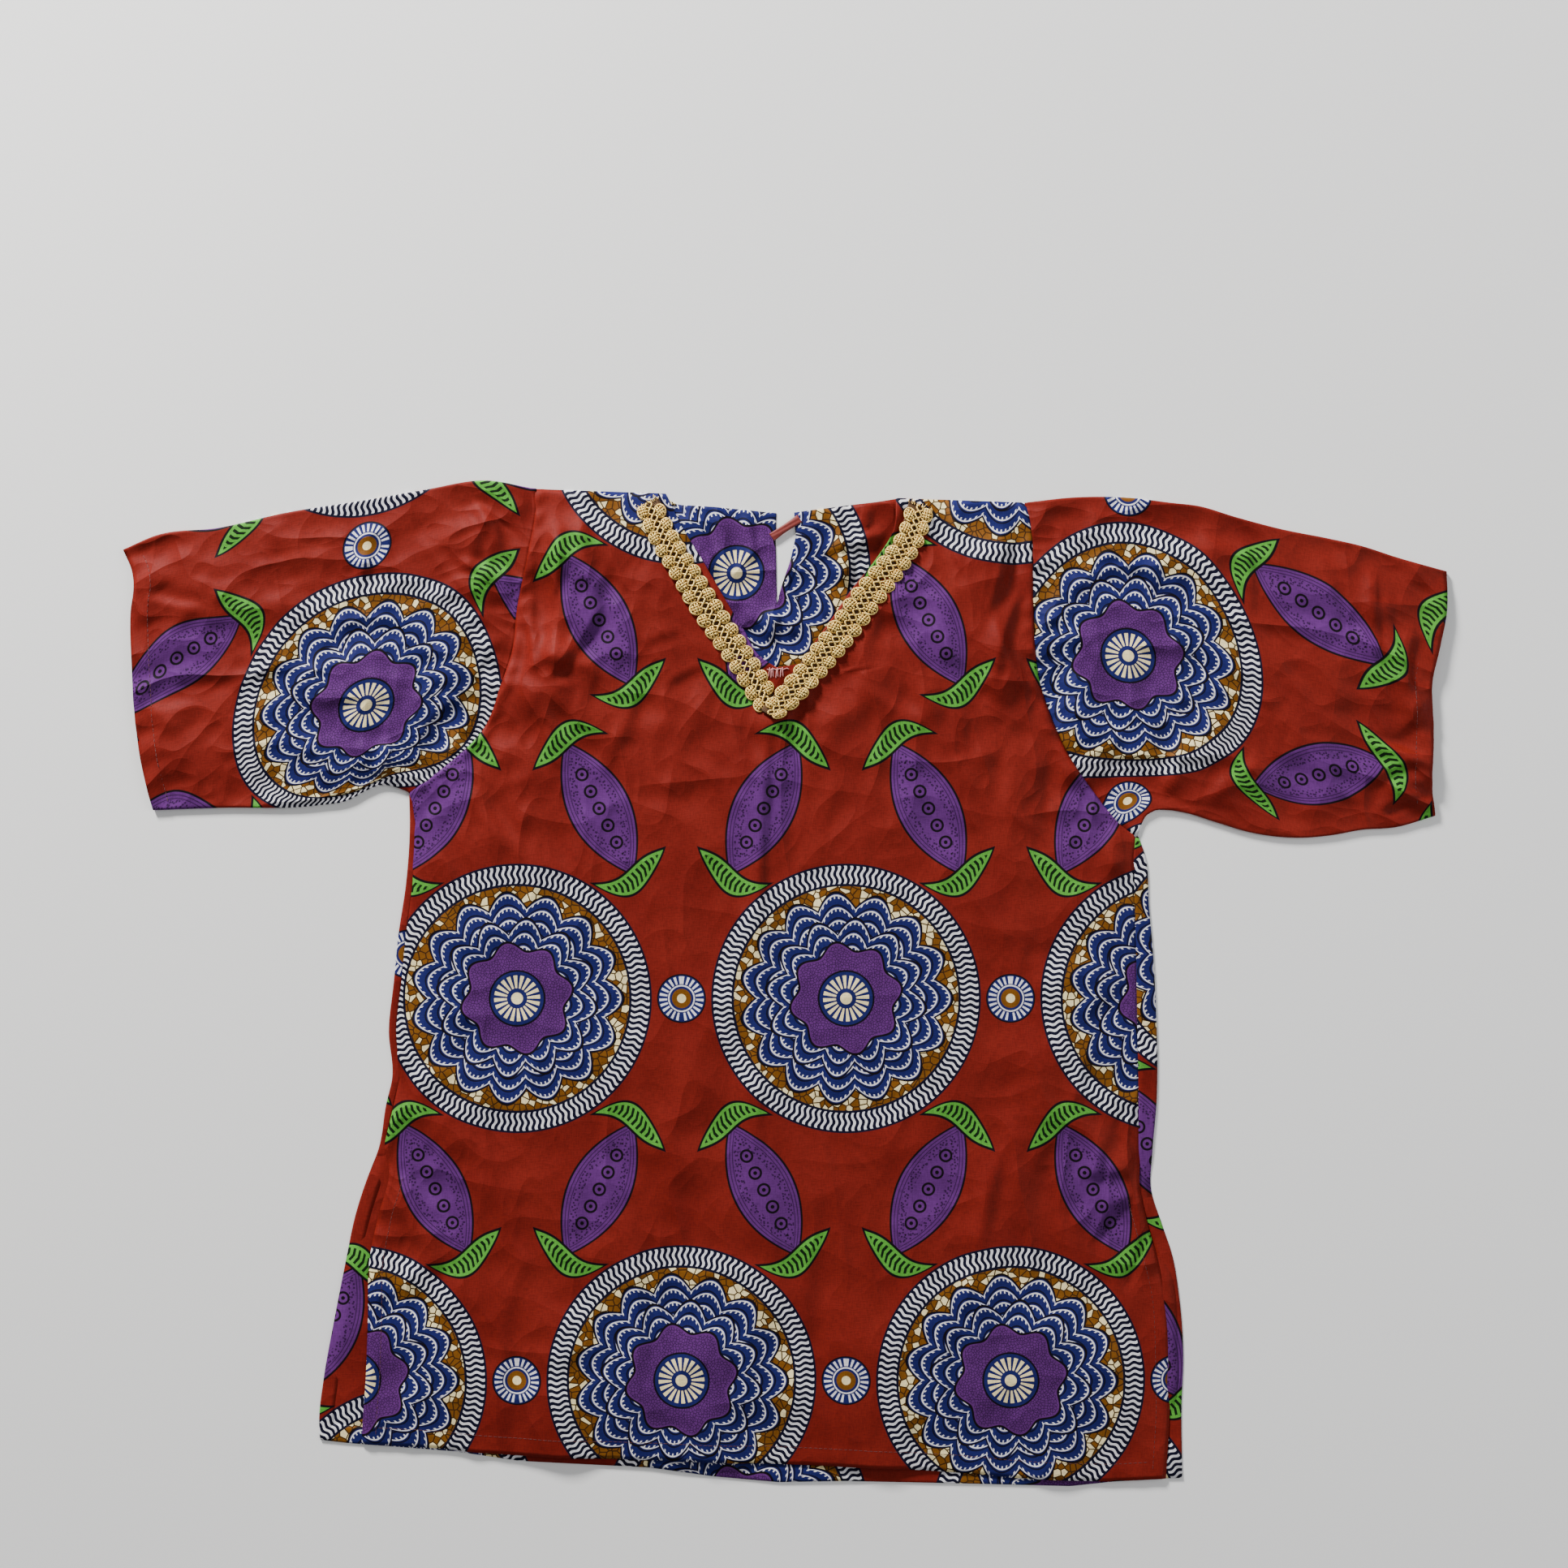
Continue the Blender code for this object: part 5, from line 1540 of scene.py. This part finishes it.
def make_tab():
    start, end = np.array(TAB_ENDS)
    sideways = np.array([start[1] - end[1], end[0] - start[0]])
    sideways = sideways / np.linalg.norm(sideways) * TAB_WIDTH / 2.0
    along = np.linspace(0.0, 1.0, 25)[:, None, None]
    side = np.linspace(-1.0, 1.0, 9)[None, :, None]
    plan = start + along * (end - start) + side * sideways * (1.0 - 0.16 * np.sin(pi * along))
    arch = 1.55 + 0.45 * np.sin(pi * along) - 0.3 * side**4 + 0.12 * np.cos(6.0 * side + 5.0 * along)
    grid = np.concatenate([plan, np.broadcast_to(arch, plan.shape[:2] + (1,))], axis=2)
    return give_thickness(cloth_object("tab_cloth", [(grid, plan, False)]), TAB_CLOTH)


def plain_cotton(name, colour, dark):
    """Plain red cotton, dyed a little unevenly."""
    material, tree, shader = new_material(name)
    shader.inputs["Roughness"].default_value = 0.6
    shader.inputs["Sheen Weight"].default_value = 0.2
    uneven = noise(tree, place_in_space(tree), 700.0, 4.0)
    tree.links.new(paint(dark, colour, (uneven - 0.4) * 2.0), shader.inputs["Base Color"])
    tree.links.new(bumped(tree, uneven, 0.0002, 0.5), shader.inputs["Normal"])
    return material


tab_cloth = make_tab()
tab_cloth.data.materials.append(plain_cotton("red cotton", BRICK_RED, DEEP_RED))

# %% [markdown]
# ## Stitches
# Machine stitches are short cords that dip into the cloth at both ends. They run along the inner
# edge of the turned hem, cuffs and slits, and a row of hand stitches crosses the notch of the V.

# %% Rows of stitches
STITCH = 2.4             # length of a stitch
STITCH_GAP = 0.5
THREAD = 0.14            # radius of the sewing thread
NOTCH_LEVEL = 177.2      # foot of the hand stitches
NOTCH_STITCH = 5.4       # and their height
# Columns: x, lean to the right, how much higher it starts
NOTCH_STITCHES = (
    (-9.4, 0.7, 0.4), (-8.0, 0.2, -0.3), (-6.7, -0.3, 0.2), (-5.2, 0.5, -0.5), (-3.9, -0.5, 0.3),
    (-2.6, 0.3, 0.0), (-1.0, -0.4, 0.5),
)


def stitches_along(line, height, steps=5):
    """One short path for each stitch along a line, arched so that its ends sink in."""
    lengths = np.concatenate([[0.0], np.cumsum(np.linalg.norm(np.diff(line, axis=0), axis=1))])
    starts = np.arange(0.5, lengths[-1] - STITCH - 0.5, STITCH + STITCH_GAP)[:, None]
    t = np.linspace(0.0, 1.0, steps)[None, :]
    at = starts + STITCH * t
    x, y = np.interp(at, lengths, line[:, 0]), np.interp(at, lengths, line[:, 1])
    arch = 0.16 * np.sin(pi * t) - 0.1
    return np.stack([x, y, height(x, y) + CLOTH / 2.0 + arch], axis=-1)


def front_side_line(side, low, high, inset):
    """A line inside the front's slit edge."""
    level, x, _ = columns(side)
    rows = np.linspace(low, high, 60)
    return np.stack([follow(rows, level, x) + inset, rows], axis=1)


def sleeve_top_height(item):
    """Heights of a sleeve's upper layer, read from its own points nearest to each place."""
    points = np.empty(len(item.data.vertices) * 3)
    item.data.vertices.foreach_get("co", points)
    points = points.reshape(-1, 3) / MM
    points = points[points[:, 2] > SLEEVE_HEIGHT / 2.0]

    def height(x, y):
        flat = np.stack([x.ravel(), y.ravel()], axis=1)
        gaps = ((points[None, :, :2] - flat[:, None]) ** 2).sum(axis=2)
        return points[gaps.argmin(axis=1), 2].reshape(x.shape)
    return height


def cuff_stitch_line(cuff, outward, inset=HEM_TURN):
    """A line up the sleeve at a fixed distance in from the cuff."""
    level, x = columns(cuff)
    rows = np.linspace(level[0] - 3.0, level[-1] + 3.0, 80)
    return np.stack([follow(-rows, -level, x) - outward * inset, rows], axis=1)


# %% Make the stitches
def make_stitches():
    hem = shifted(table_line(FRONT_HEM, 3.0), -HEM_TURN)[3:-3]
    groups = [(stitches_along(hem, front_height), THREAD)]
    for side, low, high, inset in (
        (SIDE_LEFT, -262.0, -110.0, SLIT_TURN), (SIDE_RIGHT, -282.0, -122.0, -SLIT_TURN),
    ):
        slit = front_side_line(side, low, high, inset)
        groups.append((stitches_along(slit, front_height), THREAD))
    for item, cuff, outward in (
        (sleeve_left_cloth, CUFF_LEFT, -1.0), (sleeve_right_cloth, CUFF_RIGHT, 1.0),
    ):
        line = cuff_stitch_line(cuff, outward)
        groups.append((stitches_along(line, sleeve_top_height(item)), THREAD))
    return tube_mesh("hem_stitches", groups, sides=5)


def make_notch_stitches():
    """Seven upright hand stitches over the notch of the V and one thread along their tops."""
    start, lean, rise = columns(NOTCH_STITCHES)[:, :, None]
    t = np.linspace(0.0, 1.0, 7)[None, :]
    x = start + lean * t
    y = NOTCH_LEVEL + rise + NOTCH_STITCH * t
    upright = np.stack([x, y, front_height(x, y) + 0.35 + 0.3 * np.sin(pi * t)], axis=-1)
    x = np.linspace(-10.4, 2.4, 16)[None, :]
    y = 182.2 + 0.35 * np.sin(x * 1.7) + 0.05 * x
    along = np.stack([x, y, front_height(x, y) + 0.6 + 0.1 * np.sin(x * 2.4)], axis=-1)
    return tube_mesh("notch_stitches", [(upright, 0.24), (along, 0.22)])


def thread(name, colour):
    """Spun sewing thread, with a slanting ridge from its twist."""
    material, tree, shader = new_material(name)
    shader.inputs["Base Color"].default_value = colour
    shader.inputs["Roughness"].default_value = 0.5
    shader.inputs["Sheen Weight"].default_value = 0.3
    x, y = two_numbers(tree, piece_map(tree, "cord"))
    twist = (x * 12.0 + y * (4.0 * pi)).sin()
    tree.links.new(bumped(tree, twist, 0.0001, 0.5), shader.inputs["Normal"])
    return material


hem_stitches = make_stitches()
hem_stitches.data.materials.append(thread("red thread", ink(84, 16, 14)))
notch_stitches = make_notch_stitches()
notch_stitches.data.materials.append(thread("pink thread", ink(226, 150, 150)))

# %% [markdown]
# ## What stands for what
# Each new piece rides on the tunic's one body and hides the plain solid that it stands for. The
# sheets' areas were worked out above: the front and back as seen from above, and the sleeves all
# round the tube.

for piece in (front_cloth, back_cloth, back_turned_edges, sleeve_left_cloth, sleeve_right_cloth,
              braid_cords, braid_web_shaded, tab_cloth, hem_stitches, notch_stitches):
    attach(piece, BODY)

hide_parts("front")
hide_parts("back")
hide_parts("sleeve_left")
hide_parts("sleeve_right")
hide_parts("neck_braid")
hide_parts("back_tab")

# %% [markdown]
# ## Floor, light and camera
# The photograph looks straight down on the tunic against plain white. A low light from above the
# left shoulder and a weak wide one from the right show the folds, and a pale sky fills them in.

# %% Stage
def area_light(name, place, size, power, colour):
    """A square soft light at a place, turned to face the middle of the tunic."""
    data = bpy.data.lights.new(name, "AREA")
    data.size = size
    data.energy = power
    data.color = colour
    item = bpy.data.objects.new(name, data)
    bpy.context.scene.collection.objects.link(item)
    item.location = place
    yaw = np.arctan2(-place[0], place[1])
    pitch = np.arctan2(np.hypot(place[0], place[1]), place[2])
    item.rotation_euler = (pitch, 0.0, yaw + pi)
    return item


def make_floor(edge=4.0):
    """A large pale square under the cloth."""
    mesh = bpy.data.meshes.new("floor")
    corners = [(-edge, -edge, 0.0), (edge, -edge, 0.0), (edge, edge, 0.0), (-edge, edge, 0.0)]
    mesh.from_pydata(corners, [], [(0, 1, 2, 3)])
    item = bpy.data.objects.new("floor", mesh)
    bpy.context.scene.collection.objects.link(item)
    material, _, shader = new_material("pale floor")
    shader.inputs["Base Color"].default_value = (0.94, 0.94, 0.94, 1.0)
    shader.inputs["Roughness"].default_value = 1.0
    mesh.materials.append(material)


make_floor()
area_light("key light", (-1.2, 2.2, 0.92), 0.45, 172.0, (1.0, 0.985, 0.96))
area_light("fill light", (1.5, 0.3, 1.1), 1.2, 11.0, (0.96, 0.98, 1.0))
world = bpy.data.worlds.new("studio")
bpy.context.scene.world = world
world.use_nodes = True
sky = world.node_tree.nodes["Background"]
sky.inputs["Color"].default_value = (1.0, 1.0, 1.0, 1.0)
sky.inputs["Strength"].default_value = 0.3

# %% Camera
PHOTO_PIXELS = 1932
MM_PER_PIXEL = 0.47
ORIGIN_PIXEL = (967.0, 1212.0)
LENS, SENSOR = 50.0, 36.0
CLOTH_LEVEL = 3.0        # mean height of the cloth, where the photograph's scale holds
photo_width = PHOTO_PIXELS * MM_PER_PIXEL
camera = bpy.data.objects.new("camera", bpy.data.cameras.new("camera"))
bpy.context.scene.collection.objects.link(camera)
camera.data.lens = LENS
camera.data.sensor_width = SENSOR
camera.location = (
    (PHOTO_PIXELS / 2.0 - ORIGIN_PIXEL[0]) * MM_PER_PIXEL * MM,
    (ORIGIN_PIXEL[1] - PHOTO_PIXELS / 2.0) * MM_PER_PIXEL * MM,
    (photo_width * LENS / SENSOR + CLOTH_LEVEL) * MM,
)
bpy.context.scene.camera = camera
